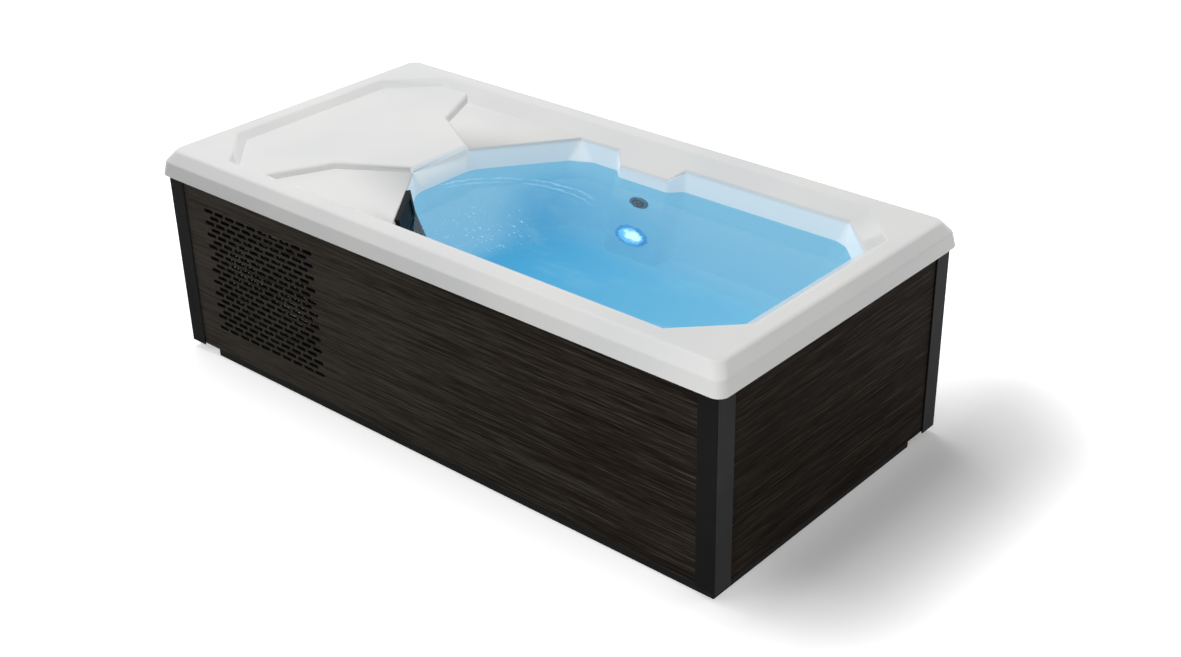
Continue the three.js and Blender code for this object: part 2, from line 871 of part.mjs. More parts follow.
function makeFilter() {
  const outline = Array.from({ length: pleatCount * 2 }, (_, i) => {
    const turn = (i * Math.PI) / pleatCount;
    const radius = filterRadius - (i % 2) * filterPleat;
    return [radius * Math.cos(turn), radius * Math.sin(turn)];
  });
  const low = bodyBottom + skimmerWall + seatGap;
  return slab(shapeOf(outline), low, low + filterTall).translate(0, filterMiddle, 0);
}

function makeSkimmerGroup() {
  return placed(
    coverPlace,
    piece("skimmer_body", makeSkimmer(), looks.grey()),
    piece("filter_cartridge", makeFilter(), looks.paper()),
    piece("filter_cover", makeCover(), looks.black()),
    piece("weir_flap", makeFlap(), looks.black()),
  );
}

// Return jet: Y points into the basin, Z down the pilaster
const jetBarbY = barbRadius + runGap - jetBodyLength;

function makeJetBody() {
  const bore = barY(jetBoreRadius, -jetBodyLength + barbRadius * 2, overcut);
  const barb = barZ(barbRadius, jetBodyRadius / 2, barbLength).translate(0, jetBarbY, 0);
  return cut(join(barY(jetBodyRadius, -jetBodyLength, 0), barb), bore);
}

function makeJetRing() {
  const bore = jetBoreRadius - runGap;
  return turned([
    [bore, seatGap],
    [jetRingRadius, seatGap],
    [jetRingRadius, jetRingWall / 2],
    [jetRingRadius - jetRingWall / 2, jetRingWall],
    [bore, jetRingWall],
    [bore, seatGap],
  ]);
}

function makeJetNozzle() {
  const radius = jetBoreRadius - runGap * 2;
  return turned([
    [jetHoleRadius, -jetRingWall],
    [radius, -jetRingWall],
    [radius, jetRingWall],
    [jetHoleRadius + nozzleLip, nozzleReach],
    [jetHoleRadius, nozzleReach],
    [jetHoleRadius, -jetRingWall],
  ]);
}

function makeJet() {
  return placed(
    jetPlace,
    piece("jet_body", makeJetBody(), looks.grey()),
    piece("jet_ring", makeJetRing(), looks.black()),
    piece("jet_nozzle", makeJetNozzle(), looks.black()),
  );
}

function makeLamp() {
  const bore = lampLensRadius + runGap;
  const ring = turned([
    [bore, seatGap],
    [lampRingRadius, seatGap],
    [lampRingRadius, lampRingWall / 3],
    [lampRingRadius - lampRingWall / 2, lampRingWall],
    [bore, lampRingWall],
    [bore, seatGap],
  ]);
  const lens = turned([
    [0, seatGap],
    [lampLensRadius, seatGap],
    [lampLensRadius, lampRingWall - lampDome / 2],
    [lampLensRadius / 2, lampRingWall + lampDome / 3],
    [0, lampRingWall + lampDome / 2],
  ]);
  return placed(
    lampPlace,
    piece("lamp_housing", barY(lampBodyRadius, -lampBodyLength, 0, turnedSides), looks.grey()),
    piece("lamp_ring", ring, looks.lampRing()),
    piece("lamp_lens", lens, looks.lens()),
  );
}

// Drain: fitting in the basin floor, hose, and a valve whose outlet passes through the back panel
const drainPortX = drainX - drainBodyRadius - portLength;
const valveInner = back - frameInset - valveLength - seatGap;

function makeDrain() {
  const flange = barZ(drainFlangeRadius, floorHeight + seatGap, floorHeight + drainFlangeWall);
  const body = barZ(drainBodyRadius, drainBodyBottom, floorHeight + drainFlangeWall / 2);
  const port = barX(drainHoseRadius, drainPortX - drainX, 0).translate(0, 0, drainPort);
  return join(flange, body, port).translate(drainX, drainY, 0);
}

function makeValve() {
  const outletEnd = back - panelInset + valveOutletReach;
  const bodyEnd = valveInner + valveLength;
  const stem = barZ(stemRadius, 0, valveRadius + stemTall).translate(0, valveInner + valveLength / 2, 0);
  return join(
    barY(valveRadius, valveInner, bodyEnd),
    barY(valveOutletRadius, bodyEnd - valveRadius, outletEnd),
    stem,
  ).translate(valveX, 0, valveHeight);
}

function makeLever() {
  const low = valveHeight + valveRadius + seatGap * 2;
  const bore = barZ(stemRadius + runGap, low - overcut, low + leverWall + overcut);
  const half = leverWidth / 2;
  const arm = box([-half - leverLength, -half, low], [half, half, low + leverWall]);
  return cut(arm, bore).translate(valveX, valveInner + valveLength / 2, 0);
}

function makeDrainGroup() {
  const at = (x, y, z) => new THREE.Vector3(x, y, z);
  const rise = valveHeight - drainPort;
  const hose = pipe(
    [
      at(drainPortX - seatGap, drainY, drainPort),
      at(valveX, drainY, drainPort),
      at(valveX, valveInner / 2 - rise, drainPort),
      at(valveX, valveInner / 2 + rise, valveHeight),
      at(valveX, valveInner - seatGap, valveHeight),
    ],
    drainHoseRadius,
    drainHoseBend,
    drainHoseBend,
  );
  return groupOf(
    piece("floor_drain", makeDrain(), looks.black()),
    piece("drain_hose", hose, looks.hose()),
    piece("drain_valve", makeValve(), looks.grey()),
    piece("drain_lever", makeLever(), looks.red()),
  );
}

// Chiller: fan behind the grille, coil behind the fan, compressor and heat exchanger behind both
const shroudFront = front + frameInset;
const shroudBack = shroudFront + shroudDepth;
const bracketFront = shroudBack + seatGap;
const coilFront = bracketFront + bracketWall + seatGap;
const coilBack = coilFront + coilDepth;
const fanMotorFront = bracketFront - seatGap - fanMotorLength;
const hubBack = fanMotorFront - seatGap;

function makeShroud() {
  const halfX = shroudWidth / 2;
  const halfZ = shroudTall / 2;
  const duct = fanRadius + fanTipGap;
  const outer = box([-halfX, 0, -halfZ], [halfX, shroudDepth, halfZ]);
  const inner = box(
    [shroudWall - halfX, -overcut, shroudWall - halfZ],
    [halfX - shroudWall, shroudDepth - shroudWall, halfZ - shroudWall],
  );
  const ring = cut(
    barY(duct + shroudWall, shroudDepth / 2, shroudDepth - shroudWall / 2, ductSides),
    barY(duct, 0, shroudDepth, ductSides),
  );
  return join(cut(outer, inner, barY(duct, 0, shroudDepth + overcut, ductSides)), ring);
}

function makeFanRotor() {
  const hub = barY(hubRadius, -hubDepth, 0);
  const shaft = barY(fanShaftRadius, -hubDepth / 2, fanShaftLength, smallSides);
  const bladeLength = fanRadius - hubRadius / 2;
  const blades = Array.from({ length: bladeCount }, (_, i) =>
    new THREE.BoxGeometry(bladeLength, bladeWall, bladeChord)
      .rotateX(THREE.MathUtils.degToRad(bladePitch))
      .translate(hubRadius / 2 + bladeLength / 2, -hubDepth / 2, 0)
      .rotateY((i * Math.PI * 2) / bladeCount),
  );
  const rim = barY(fanRadius, -hubDepth * 2, hubDepth, ductSides);
  return common(join(hub, shaft, ...blades), rim);
}

function makeFanMotor() {
  const bore = barY(fanShaftRadius + runGap, -overcut, fanShaftLength + overcut, smallSides);
  return cut(barY(fanMotorRadius, 0, fanMotorLength), bore);
}

function makeCompressor() {
  const shoulder = compressorRadius / 3;
  const can = turned(
    [
      [0, 0],
      [compressorRadius, 0],
      [compressorRadius, compressorTall - shoulder],
      [compressorRadius - shoulder, compressorTall - shoulder / 4],
      [0, compressorTall],
    ],
    barSides,
  ).rotateX(Math.PI / 2);
  const half = compressorFoot / 2;
  const plate = box([-half, -half, 0], [half, half, footWall]);
  const discharge = barZ(stubRadius, compressorTall - shoulder, compressorTall + stubLength, smallSides);
  const suctionEnd = compressorRadius + stubLength;
  const suction = barY(stubRadius, 0, suctionEnd, smallSides).translate(0, 0, compressorTall / 2);
  return join(can, plate, discharge, suction);
}

function makeExchanger() {
  const half = saddleWidth / 2;
  const tank = barX(exchangerRadius, 0, exchangerLength);
  const saddle = (x) => box([x, -half, bayFloor - exchangerHeight], [x + saddleWidth / 2, half, 0]);
  const port = (radius, x) =>
    barZ(radius, exchangerRadius / 2, exchangerRadius + portLength, smallSides).translate(x, 0, 0);
  return join(
    tank,
    saddle(half),
    saddle(exchangerLength - saddleWidth),
    port(portRadius, waterPort),
    port(stubRadius, gasPort),
    port(stubRadius, liquidPort),
    barX(portRadius, exchangerLength - overcut, exchangerLength + portLength, smallSides),
  );
}

const compressorX = basinHead - compressorFromBasin;
const compressorY = -compressorFromMiddle;
const exchangerX = basinHead - exchangerFromBasin;
const exchangerY = exchangerFromMiddle;
const portTop = exchangerHeight + exchangerRadius + portLength + seatGap;

function makeLines() {
  const at = (x, y, z) => new THREE.Vector3(x, y, z);
  const topZ = bayFloor + compressorTall + stubLength + seatGap;
  const suctionY = compressorY + compressorRadius + stubLength + seatGap;
  const suctionZ = bayFloor + compressorTall / 2;
  const gasX = exchangerX + gasPort;
  const liquidX = exchangerX + liquidPort;
  const between = (suctionY + exchangerY) / 2;
  const crossing = portTop + lineRise;
  const discharge = [
    at(compressorX, compressorY, topZ),
    at(compressorX, compressorY, topZ + lineRise),
    at(compressorX, coilBack + seatGap, topZ + lineRise),
  ];
  const suction = [
    at(compressorX, suctionY, suctionZ),
    at(compressorX, between, suctionZ),
    at(compressorX, between, crossing),
    at(gasX, exchangerY, crossing),
    at(gasX, exchangerY, portTop),
  ];
  const liquid = [
    at(liquidX, coilBack + seatGap, crossing + lineRise),
    at(liquidX, exchangerY, crossing + lineRise),
    at(liquidX, exchangerY, portTop),
  ];
  return groupOf(
    piece("discharge_line", pipe(discharge, lineRadius, lineBend, lineBend), looks.copper()),
    piece("suction_line", pipe(suction, lineRadius, lineBend, lineBend), looks.copper()),
    piece("liquid_line", pipe(liquid, lineRadius, lineBend, lineBend), looks.copper()),
  );
}

function makeChiller() {
  const atFan = (y, mesh) => {
    mesh.position.set(grilleMiddle, y, grilleHeight);
    return mesh;
  };
  const halfX = shroudWidth / 2;
  const bracket = box([-halfX, 0, -bracketTall / 2], [halfX, bracketWall, bracketTall / 2]);
  const coil = box(
    [grilleMiddle - halfX, coilFront, bayFloor],
    [grilleMiddle + halfX, coilBack, grilleHeight + shroudTall / 2],
  );
  const compressor = piece("compressor", makeCompressor(), looks.enamel());
  compressor.position.set(compressorX, compressorY, bayFloor);
  const exchanger = piece("heat_exchanger", makeExchanger(), looks.steel());
  exchanger.position.set(exchangerX, exchangerY, exchangerHeight);
  return groupOf(
    atFan(shroudFront, piece("fan_shroud", makeShroud(), looks.black())),
    atFan(hubBack, piece("fan_rotor", makeFanRotor(), looks.black())),
    atFan(fanMotorFront, piece("fan_motor", makeFanMotor(), looks.enamel())),
    atFan(bracketFront, piece("fan_bracket", bracket, looks.steel())),
    piece("condenser_coil", coil, looks.fins()),
    compressor,
    exchanger,
    makeLines(),
  );
}

// Circulation pump, lying along the tub with its inlet to the foot end
const pumpX = basinHead - pumpFromBasin;
const pumpY = -pumpFromMiddle;
const chamberStart = (headDepth - chamberDepth) / 2;

function makePumpHead() {
  const outlet = barZ(portRadius, 0, pumpOutletTop - pumpHeight);
  outlet.translate(headDepth / 2, pumpOutletOffset, 0);
  const inlet = barX(portRadius, headDepth - overcut, headDepth + inletLength);
  return cut(
    join(barX(headRadius, 0, headDepth), outlet, inlet),
    barX(chamberRadius, chamberStart, chamberStart + chamberDepth),
    barX(inletBore, headDepth / 2, headDepth + inletLength + overcut),
    barX(impellerShaftRadius + runGap, -overcut, headDepth / 2, smallSides),
  );
}

function makeImpeller() {
  const start = chamberStart + (chamberDepth - impellerDepth) / 2;
  return join(
    barX(impellerRadius, start, start + impellerDepth),
    barX(impellerShaftRadius, -impellerShaftLength, start + impellerDepth / 2, smallSides),
  );
}

function makeMotor() {
  const bore = barX(impellerShaftRadius + runGap, -impellerShaftLength - runGap, overcut, smallSides);
  const middle = -seatGap - motorLength / 2;
  const footLow = bayFloor - pumpHeight;
  const stand = box(
    [middle - motorFootLength / 2, -motorFootWidth / 2, footLow],
    [middle + motorFootLength / 2, motorFootWidth / 2, -motorRadius / 2],
  );
  return cut(join(barX(motorRadius, -seatGap - motorLength, -seatGap), stand), bore);
}

function makePump() {
  const group = groupOf(
    piece("pump_head", makePumpHead(), looks.black()),
    piece("pump_impeller", makeImpeller(), looks.grey()),
    piece("pump_motor", makeMotor(), looks.steel()),
  );
  group.position.set(pumpX, pumpY, pumpHeight);
  return group;
}

// Water hoses from skimmer to pump, pump to heat exchanger, and heat exchanger to jet
function makeHoses() {
  const at = (x, y, z) => new THREE.Vector3(x, y, z);
  const spout = (z) => at(0, filterMiddle, bodyBottom - outletLength - z).applyMatrix4(coverPlace);
  const inletX = pumpX + headDepth + inletLength + seatGap;
  const outletX = pumpX + headDepth / 2;
  const outletY = pumpY + pumpOutletOffset;
  const waterX = exchangerX + waterPort;
  const over = portTop + hoseStraight;
  const skimmerHose = [
    spout(seatGap),
    spout(hoseStraight),
    at(inletX + inletRun, pumpY, pumpHeight),
    at(inletX, pumpY, pumpHeight),
  ];
  const pumpHose = [
    at(outletX, outletY, pumpOutletTop + seatGap),
    at(outletX, outletY, over),
    at(waterX, exchangerY, over),
    at(waterX, exchangerY, portTop),
  ];
  const backY = back - frameInset - rail - hoseStraight / 2;
  const outX = exchangerX + exchangerLength + portLength + seatGap;
  const turnX = outX + hoseStraight;
  const runZ = exchangerHeight + hoseStraight * 2;
  const barbEnd = (z) => at(0, jetBarbY, barbLength + z).applyMatrix4(jetPlace);
  const jetX = pilasterHead + jetFromEdge;
  const returnHose = [
    at(outX, exchangerY, exchangerHeight),
    at(turnX, exchangerY, exchangerHeight),
    at(turnX, exchangerY, runZ),
    at(turnX, backY, runZ),
    at(jetX, backY, runZ),
    barbEnd(hoseStraight),
    barbEnd(seatGap),
  ];
  return groupOf(
    piece("skimmer_hose", pipe(skimmerHose, hoseRadius, hoseBend, hoseStep), looks.hose()),
    piece("pump_hose", pipe(pumpHose, hoseRadius, hoseBend, hoseStep), looks.hose()),
    piece("return_hose", pipe(returnHose, barbRadius, returnBend, hoseStep), looks.hose()),
  );
}

function makeControls() {
  const wall = back - frameInset;
  const start = head + controlFromHead;
  const top = railTop - rail - controlGap;
  const low = top - controlTall;
  const controlBox = box([start, wall - controlDepth, low], [start + controlLength, wall, top]);
  const nut = (from, to) => barY(glandNutRadius, from, to, nutSides);
  const outer = back - panelInset;
  const gland = join(
    barY(glandRadius, wall - glandNutWall, outer + glandNutWall / 2),
    nut(wall - glandNutWall, wall),
    nut(outer + seatGap, outer + glandNutWall),
  ).translate(glandX, 0, glandHeight);
  return groupOf(
    piece("control_box", controlBox, looks.grey()),
    piece("cable_gland", gland, looks.black()),
  );
}

const tub = groupOf(
  piece("tub_shell", makeShell(), looks.acrylic()),
  makePanels(),
  makeFrame(),
  makeInsulation(),
  makeSkimmerGroup(),
  makeJet(),
  makeLamp(),
  makeDrainGroup(),
  makeChiller(),
  makePump(),
  makeHoses(),
  makeControls(),
);
tub.name = "cold_plunge_tub";

export default tub;
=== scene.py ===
import json
import math

import bmesh
import bpy
from mathutils import Matrix, Quaternion, Vector
from mathutils.bvhtree import BVHTree


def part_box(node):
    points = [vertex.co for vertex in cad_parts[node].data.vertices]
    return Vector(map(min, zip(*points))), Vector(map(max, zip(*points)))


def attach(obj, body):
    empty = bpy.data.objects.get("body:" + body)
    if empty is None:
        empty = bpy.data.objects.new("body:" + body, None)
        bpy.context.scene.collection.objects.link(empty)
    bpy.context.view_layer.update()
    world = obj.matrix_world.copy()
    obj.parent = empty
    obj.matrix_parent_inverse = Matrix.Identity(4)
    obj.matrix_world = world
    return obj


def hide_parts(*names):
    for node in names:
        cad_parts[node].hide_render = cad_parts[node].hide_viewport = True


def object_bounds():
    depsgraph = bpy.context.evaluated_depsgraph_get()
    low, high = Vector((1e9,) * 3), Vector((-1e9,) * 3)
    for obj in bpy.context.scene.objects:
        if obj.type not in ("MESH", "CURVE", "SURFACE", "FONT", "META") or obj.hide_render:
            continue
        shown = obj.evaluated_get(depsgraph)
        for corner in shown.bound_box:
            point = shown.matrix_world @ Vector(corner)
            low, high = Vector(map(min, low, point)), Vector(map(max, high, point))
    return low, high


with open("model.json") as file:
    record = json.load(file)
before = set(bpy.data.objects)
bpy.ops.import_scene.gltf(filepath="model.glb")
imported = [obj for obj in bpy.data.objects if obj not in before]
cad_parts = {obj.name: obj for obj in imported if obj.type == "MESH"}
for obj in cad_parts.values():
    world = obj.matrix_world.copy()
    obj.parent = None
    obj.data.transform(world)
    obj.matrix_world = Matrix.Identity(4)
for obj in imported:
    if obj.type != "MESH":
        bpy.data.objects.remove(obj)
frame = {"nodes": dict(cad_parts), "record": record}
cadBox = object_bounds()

scene = bpy.context.scene
scene.view_settings.view_transform = "Standard"
nodes = frame["nodes"]
slotOf = {part["node"]: part["material_slot"] for part in frame["record"]["subparts"]}
bodyOf = {
    node: body
    for body, members in frame["record"]["behaviour"]["bodies"].items()
    for node in members
}
print("frame loaded:", len(nodes), "nodes")


# Node sockets that work in Python expressions

class Wire:
    def __init__(self, graph, socket):
        self.graph = graph
        self.socket = socket

    def combine(self, operation, first, second=0.0):
        return self.graph.node("ShaderNodeMath", {"operation": operation}, {0: first, 1: second})

    def __add__(self, other):
        return self.combine("ADD", self, other)

    def __radd__(self, other):
        return self.combine("ADD", other, self)

    def __sub__(self, other):
        return self.combine("SUBTRACT", self, other)

    def __rsub__(self, other):
        return self.combine("SUBTRACT", other, self)

    def __mul__(self, other):
        return self.combine("MULTIPLY", self, other)

    def __rmul__(self, other):
        return self.combine("MULTIPLY", other, self)

    def __truediv__(self, other):
        return self.combine("DIVIDE", self, other)

    def __rtruediv__(self, other):
        return self.combine("DIVIDE", other, self)

    def __lt__(self, other):
        return self.combine("LESS_THAN", self, other)

    def __gt__(self, other):
        return self.combine("GREATER_THAN", self, other)

    def __pow__(self, other):
        return self.combine("POWER", self, other)

    def __rpow__(self, other):
        return self.combine("POWER", other, self)

    def __abs__(self):
        return self.combine("ABSOLUTE", self)


class Graph:
    def __init__(self, tree):
        self.tree = tree
        self.tree.nodes.clear()

    def node(self, kind, settings=None, sockets=None, output=0):
        made = self.tree.nodes.new(kind)
        for name, value in (settings or {}).items():
            if name == "stops":
                self.fillRamp(made.color_ramp, value)
            else:
                setattr(made, name, value)
        for key, value in (sockets or {}).items():
            for part in value if isinstance(value, list) else [value]:
                if isinstance(part, Wire):
                    self.tree.links.new(part.socket, made.inputs[key])
                else:
                    made.inputs[key].default_value = part
        return Wire(self, made.outputs[output]) if made.outputs else made

    def fillRamp(self, ramp, stops):
        while len(ramp.elements) < len(stops):
            ramp.elements.new(1.0)
        for element, (position, colour) in zip(ramp.elements, stops):
            element.position = position
            element.color = (*colour, 1.0)


class Finish(Graph):  # a material, or the world's nodes
    def __init__(self, name, tree=None):
        if tree is None:
            self.material = bpy.data.materials.new(name)
            self.material.use_nodes = True
            tree = self.material.node_tree
        super().__init__(tree)

    def place(self, scale=(1, 1, 1), centre=(0, 0, 0)):
        spot = self.node("ShaderNodeTexCoord", output="Object")
        shifted = self.node("ShaderNodeVectorMath", {"operation": "SUBTRACT"}, {0: spot, 1: centre})
        return self.node("ShaderNodeMapping", {}, {"Vector": shifted, "Scale": scale})

    def axis(self, name):
        return self.node("ShaderNodeSeparateXYZ", {}, {0: self.place()}, name)

    def distance(self, centre):
        spot = self.place(centre=centre)
        return self.node("ShaderNodeVectorMath", {"operation": "LENGTH"}, {0: spot}, "Value")

    def noise(self, place, scale, detail=3.0, rough=0.5):
        sockets = {"Vector": place, "Scale": scale, "Detail": detail, "Roughness": rough}
        return self.node("ShaderNodeTexNoise", {}, sockets)

    def cells(self, place, scale):
        return self.node("ShaderNodeTexVoronoi", {}, {"Vector": place, "Scale": scale})

    def waves(self, place, scale, settings, sockets=None):
        sockets = {"Vector": place, "Scale": scale, **(sockets or {})}
        return self.node("ShaderNodeTexWave", settings, sockets, "Fac")

    def span(self, value, low, high, outLow=0.0, outHigh=1.0):
        sockets = {0: value, 1: low, 2: high, 3: outLow, 4: outHigh}
        return self.node("ShaderNodeMapRange", {"interpolation_type": "SMOOTHSTEP"}, sockets)

    def ramp(self, value, stops):
        return self.node("ShaderNodeValToRGB", {"stops": stops}, {0: value})

    def mix(self, factor, first, second):
        first, second = (
            value if isinstance(value, Wire) else (*value, 1.0) for value in (first, second)
        )
        sockets = {0: factor, 6: first, 7: second}
        return self.node("ShaderNodeMix", {"data_type": "RGBA"}, sockets, output=2)

    def bump(self, height, strength, distance):
        sockets = {"Height": height, "Strength": strength, "Distance": distance}
        return self.node("ShaderNodeBump", {}, sockets)

    def surface(self, sockets):
        shader = self.node("ShaderNodeBsdfPrincipled", {}, sockets)
        self.node("ShaderNodeOutputMaterial", {}, {"Surface": shader})
        return self.material


class Maker(Graph):  # a Geometry Nodes tree that is turned into a plain mesh
    def __init__(self, name, sizes):
        super().__init__(bpy.data.node_groups.new(name, "GeometryNodeTree"))
        self.values = {}
        for label, value in sizes.items():
            kind = "NodeSocketInt" if isinstance(value, int) else "NodeSocketFloat"
            socket = self.tree.interface.new_socket(label, in_out="INPUT", socket_type=kind)
            self.values[socket.identifier] = value
        self.tree.interface.new_socket("Mesh", in_out="OUTPUT", socket_type="NodeSocketGeometry")
        self.source = self.tree.nodes.new("NodeGroupInput")

    def size(self, label):
        return Wire(self, self.source.outputs[label])

    def make(self, kind, settings=None, sockets=None, output=0):
        return self.node("GeometryNode" + kind, settings, sockets, output)

    def spot(self, x=0.0, y=0.0, z=0.0):
        return self.node("ShaderNodeCombineXYZ", {}, {0: x, 1: y, 2: z})

    def mesh(self, geometry, material):
        plain = self.make("RealizeInstances", {}, {0: geometry})
        dressed = self.make("SetMaterial", {}, {"Geometry": plain, "Material": material})
        self.node("NodeGroupOutput", {}, {0: dressed})
        holder = bpy.data.objects.new("holder", bpy.data.meshes.new("holder"))
        scene.collection.objects.link(holder)
        modifier = holder.modifiers.new("made", "NODES")
        modifier.node_group = self.tree
        for identifier, value in self.values.items():
            modifier[identifier] = value
        graph = bpy.context.evaluated_depsgraph_get()
        mesh = bpy.data.meshes.new_from_object(holder.evaluated_get(graph))
        holder.modifiers.remove(modifier)
        bpy.data.objects.remove(holder)
        return mesh


# Mesh helpers

def newPiece(name, mesh, body, material, replaced=(), sharpFrom=30):  # degrees
    piece = bpy.data.objects.new(name, mesh)
    scene.collection.objects.link(piece)
    mesh.materials.clear()
    mesh.materials.append(material)
    for face in mesh.polygons:
        face.use_smooth = True
    if sharpFrom:
        mesh.set_sharp_from_angle(angle=math.radians(sharpFrom))
    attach(piece, body)
    if replaced:
        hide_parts(*replaced)
    return piece


def repaint(mesh, material, chosen):  # gives the chosen faces a second finish
    mesh.materials.append(material)
    for face in mesh.polygons:
        face.material_index = int(chosen(face))


def meshOf(solid, name):
    mesh = bpy.data.meshes.new(name)
    solid.to_mesh(mesh)
    solid.free()
    return mesh


def copyOf(node):
    solid = bmesh.new()
    solid.from_mesh(nodes[node].data)
    bmesh.ops.remove_doubles(solid, verts=solid.verts, dist=1e-5)
    flat = math.radians(0.6)  # joins triangles that lie in one plane
    bmesh.ops.dissolve_limit(solid, angle_limit=flat, verts=solid.verts, edges=solid.edges)
    return solid


def roundEdges(solid, edges, radius, segments, clamp=True):
    bmesh.ops.bevel(
        solid,
        geom=edges,
        offset=radius,
        segments=segments,
        profile=0.5,
        affect="EDGES",
        clamp_overlap=clamp,
    )


def creases(solid, degrees):
    angle = math.radians(degrees)
    return [e for e in solid.edges if len(e.link_faces) == 2 and e.calc_face_angle() > angle]


def weightNormals(piece):
    tidy = piece.modifiers.new("flatFaces", "WEIGHTED_NORMAL")
    tidy.keep_sharp = True
    tidy.weight = 100


def softened(name, node, finish, edge, segments=2):  # a copy of a node with rounded edges
    solid = copyOf(node)
    roundEdges(solid, creases(solid, 40), edge, segments)
    mesh = meshOf(solid, name)
    piece = newPiece(name, mesh, bodyOf[node], finish, [node], sharpFrom=35)
    weightNormals(piece)
    return piece


def roundedPath(points, radii, steps):  # a path of straight lines with arcs at its corners
    path = [points[0]]
    for before, corner, after, radius in zip(points, points[1:], points[2:], radii):
        corner = Vector(corner)
        back, ahead = (Vector(before) - corner).normalized(), (Vector(after) - corner).normalized()
        half = back.angle(ahead) / 2
        reach = radius / math.tan(half)
        middle = corner + (back + ahead).normalized() * (radius / math.sin(half))
        start, end = corner + back * reach - middle, corner + ahead * reach - middle
        for step in range(steps + 1):
            path.append(middle + start.slerp(end, step / steps) * radius)
    return [Vector(point) for point in path + [points[-1]]]


def bridge(solid, rings):  # faces between each ring of points and the next
    for lower, upper in zip(rings, rings[1:]):
        for i in range(len(lower)):
            solid.faces.new((lower[i - 1], lower[i], upper[i], upper[i - 1]))


# A closed profile of (radius, height), spun round an axis
def turned(name, profile, place, sides, wave=None):
    solid = bmesh.new()
    rings = []
    for radius, height in profile:
        ring = []
        for side in range(sides):
            angle = side / sides * math.tau
            r, h = wave(radius, height, angle) if wave else (radius, height)
            spot = Vector((r * math.cos(angle), r * math.sin(angle), h))
            ring.append(solid.verts.new(place @ spot))
        rings.append(ring)
    bridge(solid, rings + rings[:1])
    bmesh.ops.remove_doubles(solid, verts=solid.verts, dist=1e-6)
    bmesh.ops.recalc_face_normals(solid, faces=solid.faces)
    return meshOf(solid, name)


# Finishes that several pieces share

def coatFinish(name, colour, rough=0.42):  # powder coat
    f = Finish(name)
    peel = f.noise(f.place(), 520.0, 2.0)
    patch = f.noise(f.place(), 7.0, 3.0)
    lighter = tuple(1.5 * part + 0.002 for part in colour)
    return f.surface({
        "Base Color": f.mix(f.span(patch, 0.3, 0.75, 0.0, 0.5), colour, lighter),
        "Roughness": f.span(patch, 0.3, 0.7, rough, rough + 0.1),
        "Specular IOR Level": 0.02,
        "Normal": f.bump(peel, 0.12, 0.0005),
    })


def mouldedFinish(name, colour, rough=0.4):  # plain moulded plastic
    f = Finish(name)
    grain = f.noise(f.place(), 700.0, 2.0)
    patch = f.noise(f.place(), 11.0, 3.0)
    lighter = tuple(1.25 * part + 0.003 for part in colour)
    return f.surface({
        "Base Color": f.mix(f.span(patch, 0.35, 0.7), colour, lighter),
        "Roughness": f.span(patch, 0.3, 0.7, rough, rough + 0.12),
        "Specular IOR Level": 0.03,
        "Normal": f.bump(grain, 0.15, 0.0006),
    })


# Camera

cameraPlace = {
    "location": (3.0288, -3.2027, 2.5929),
    "azimuth": 41.52,  # degrees round the tub, from its front
    "elevation": 28.53,
    "roll": -1.18,
    "lens": 50.985,
    "sensor": 36.0,
}


def addCamera(place):
    data = bpy.data.cameras.new("camera")
    data.lens = place["lens"]
    data.sensor_width = place["sensor"]
    data.sensor_fit = "HORIZONTAL"
    camera = bpy.data.objects.new("camera", data)
    scene.collection.objects.link(camera)
    turn, rise = math.radians(place["azimuth"]), math.radians(place["elevation"])
    level = math.cos(rise)
    ahead = Vector((-math.sin(turn) * level, math.cos(turn) * level, -math.sin(rise)))
    aim = ahead.to_track_quat("-Z", "Y") @ Quaternion((0, 0, 1), math.radians(place["roll"]))
    camera.matrix_world = Matrix.LocRotScale(Vector(place["location"]), aim, None)
    scene.camera = camera


addCamera(cameraPlace)
print("camera set")


# Shell: the solid's upper skin with rounded edges and a thin wall

shellLook = {
    "edge": 0.007,  # radius of the edges inside the rim
    "segments": 4,
    "wall": 0.006,
    "crease": 12,  # degrees: flatter edges stay as they are
    "shortest": 0.024,  # shorter edges stay as they are
    "upright": 0.05,  # hollow edges that rise less stay as they are
    "merge": 0.0046,  # joins points that lie closer
    "levels": {"lip": 0.64, "plateau": 0.658, "rim": 0.678},  # heights of the flat faces
    "rimDraft": 0.008,
    "rimDrop": 0.079,
    "chamferRun": 0.026,
    "chamferDrop": 0.035,
    "rimEdge": 0.016,  # radius of the rim's outer edges
    "hemEdge": 0.003,
    "corner": 0.032,  # radius of the rim's corners in plan
    "cornerSteps": 10,
    "waterLine": 0.575,
    "colour": (0.80, 0.80, 0.785),
    "shade": (0.74, 0.745, 0.75),
    "basin": (0.94, 0.42),  # half its length and half its width, with room to spare
    "lipPaintedBounce": (0.84, 0.90, 0.94),  # painted blue bounce light on the walls between the lip and the water
    # painted light: these walls glow, filling the shade under the lip
    "lipPaintedLight": (0.19, 0.205, 0.20),
    "lipFade": (0.001, 0.012),  # above the lip and below it
    "headWall": (-0.36, 0.042, 0.118),  # place, half depth and half width of the plateau's end, whose wall gets the painted light too
    "headFade": 0.008,  # below the plateau
    "pilaster": (0.099, 0.269),  # its middle, and where its flanks would meet
    "pilasterFade": (0.357, 0.361),  # its top keeps the shell's own colour
    "wetFade": 0.002,  # above and below the water line
    "paleWater": (0.12, 0.20, 0.21),
    "deepWater": (0.004, 0.11, 0.17),
    # painted light: under the water the walls glow blue, paler where the water is shallow
    "palePaintedLight": (0.18, 0.38, 0.54),
    "deepPaintedLight": (0.0, 0.235, 0.445),
    "deepShares": (0.42, 0.58),  # of the two rules below
    "deepAlong": ((0.45, -0.3), (-0.42, -0.15, 0.15, 1.0)),  # from, to and the values there
    "deepAcross": ((0.43, 0.2), (0.9, 0.3, 0.45, 1.0)),
    # paler at the head, where the water is shallow and the lip shades the wall, and near the top,
    # under the lip's shade: painted light
    "paleHead": (-0.36, -0.2, 0.15, 1.0),
    "paleTop": (0.57, 0.36, 0.0, 1.0),
}


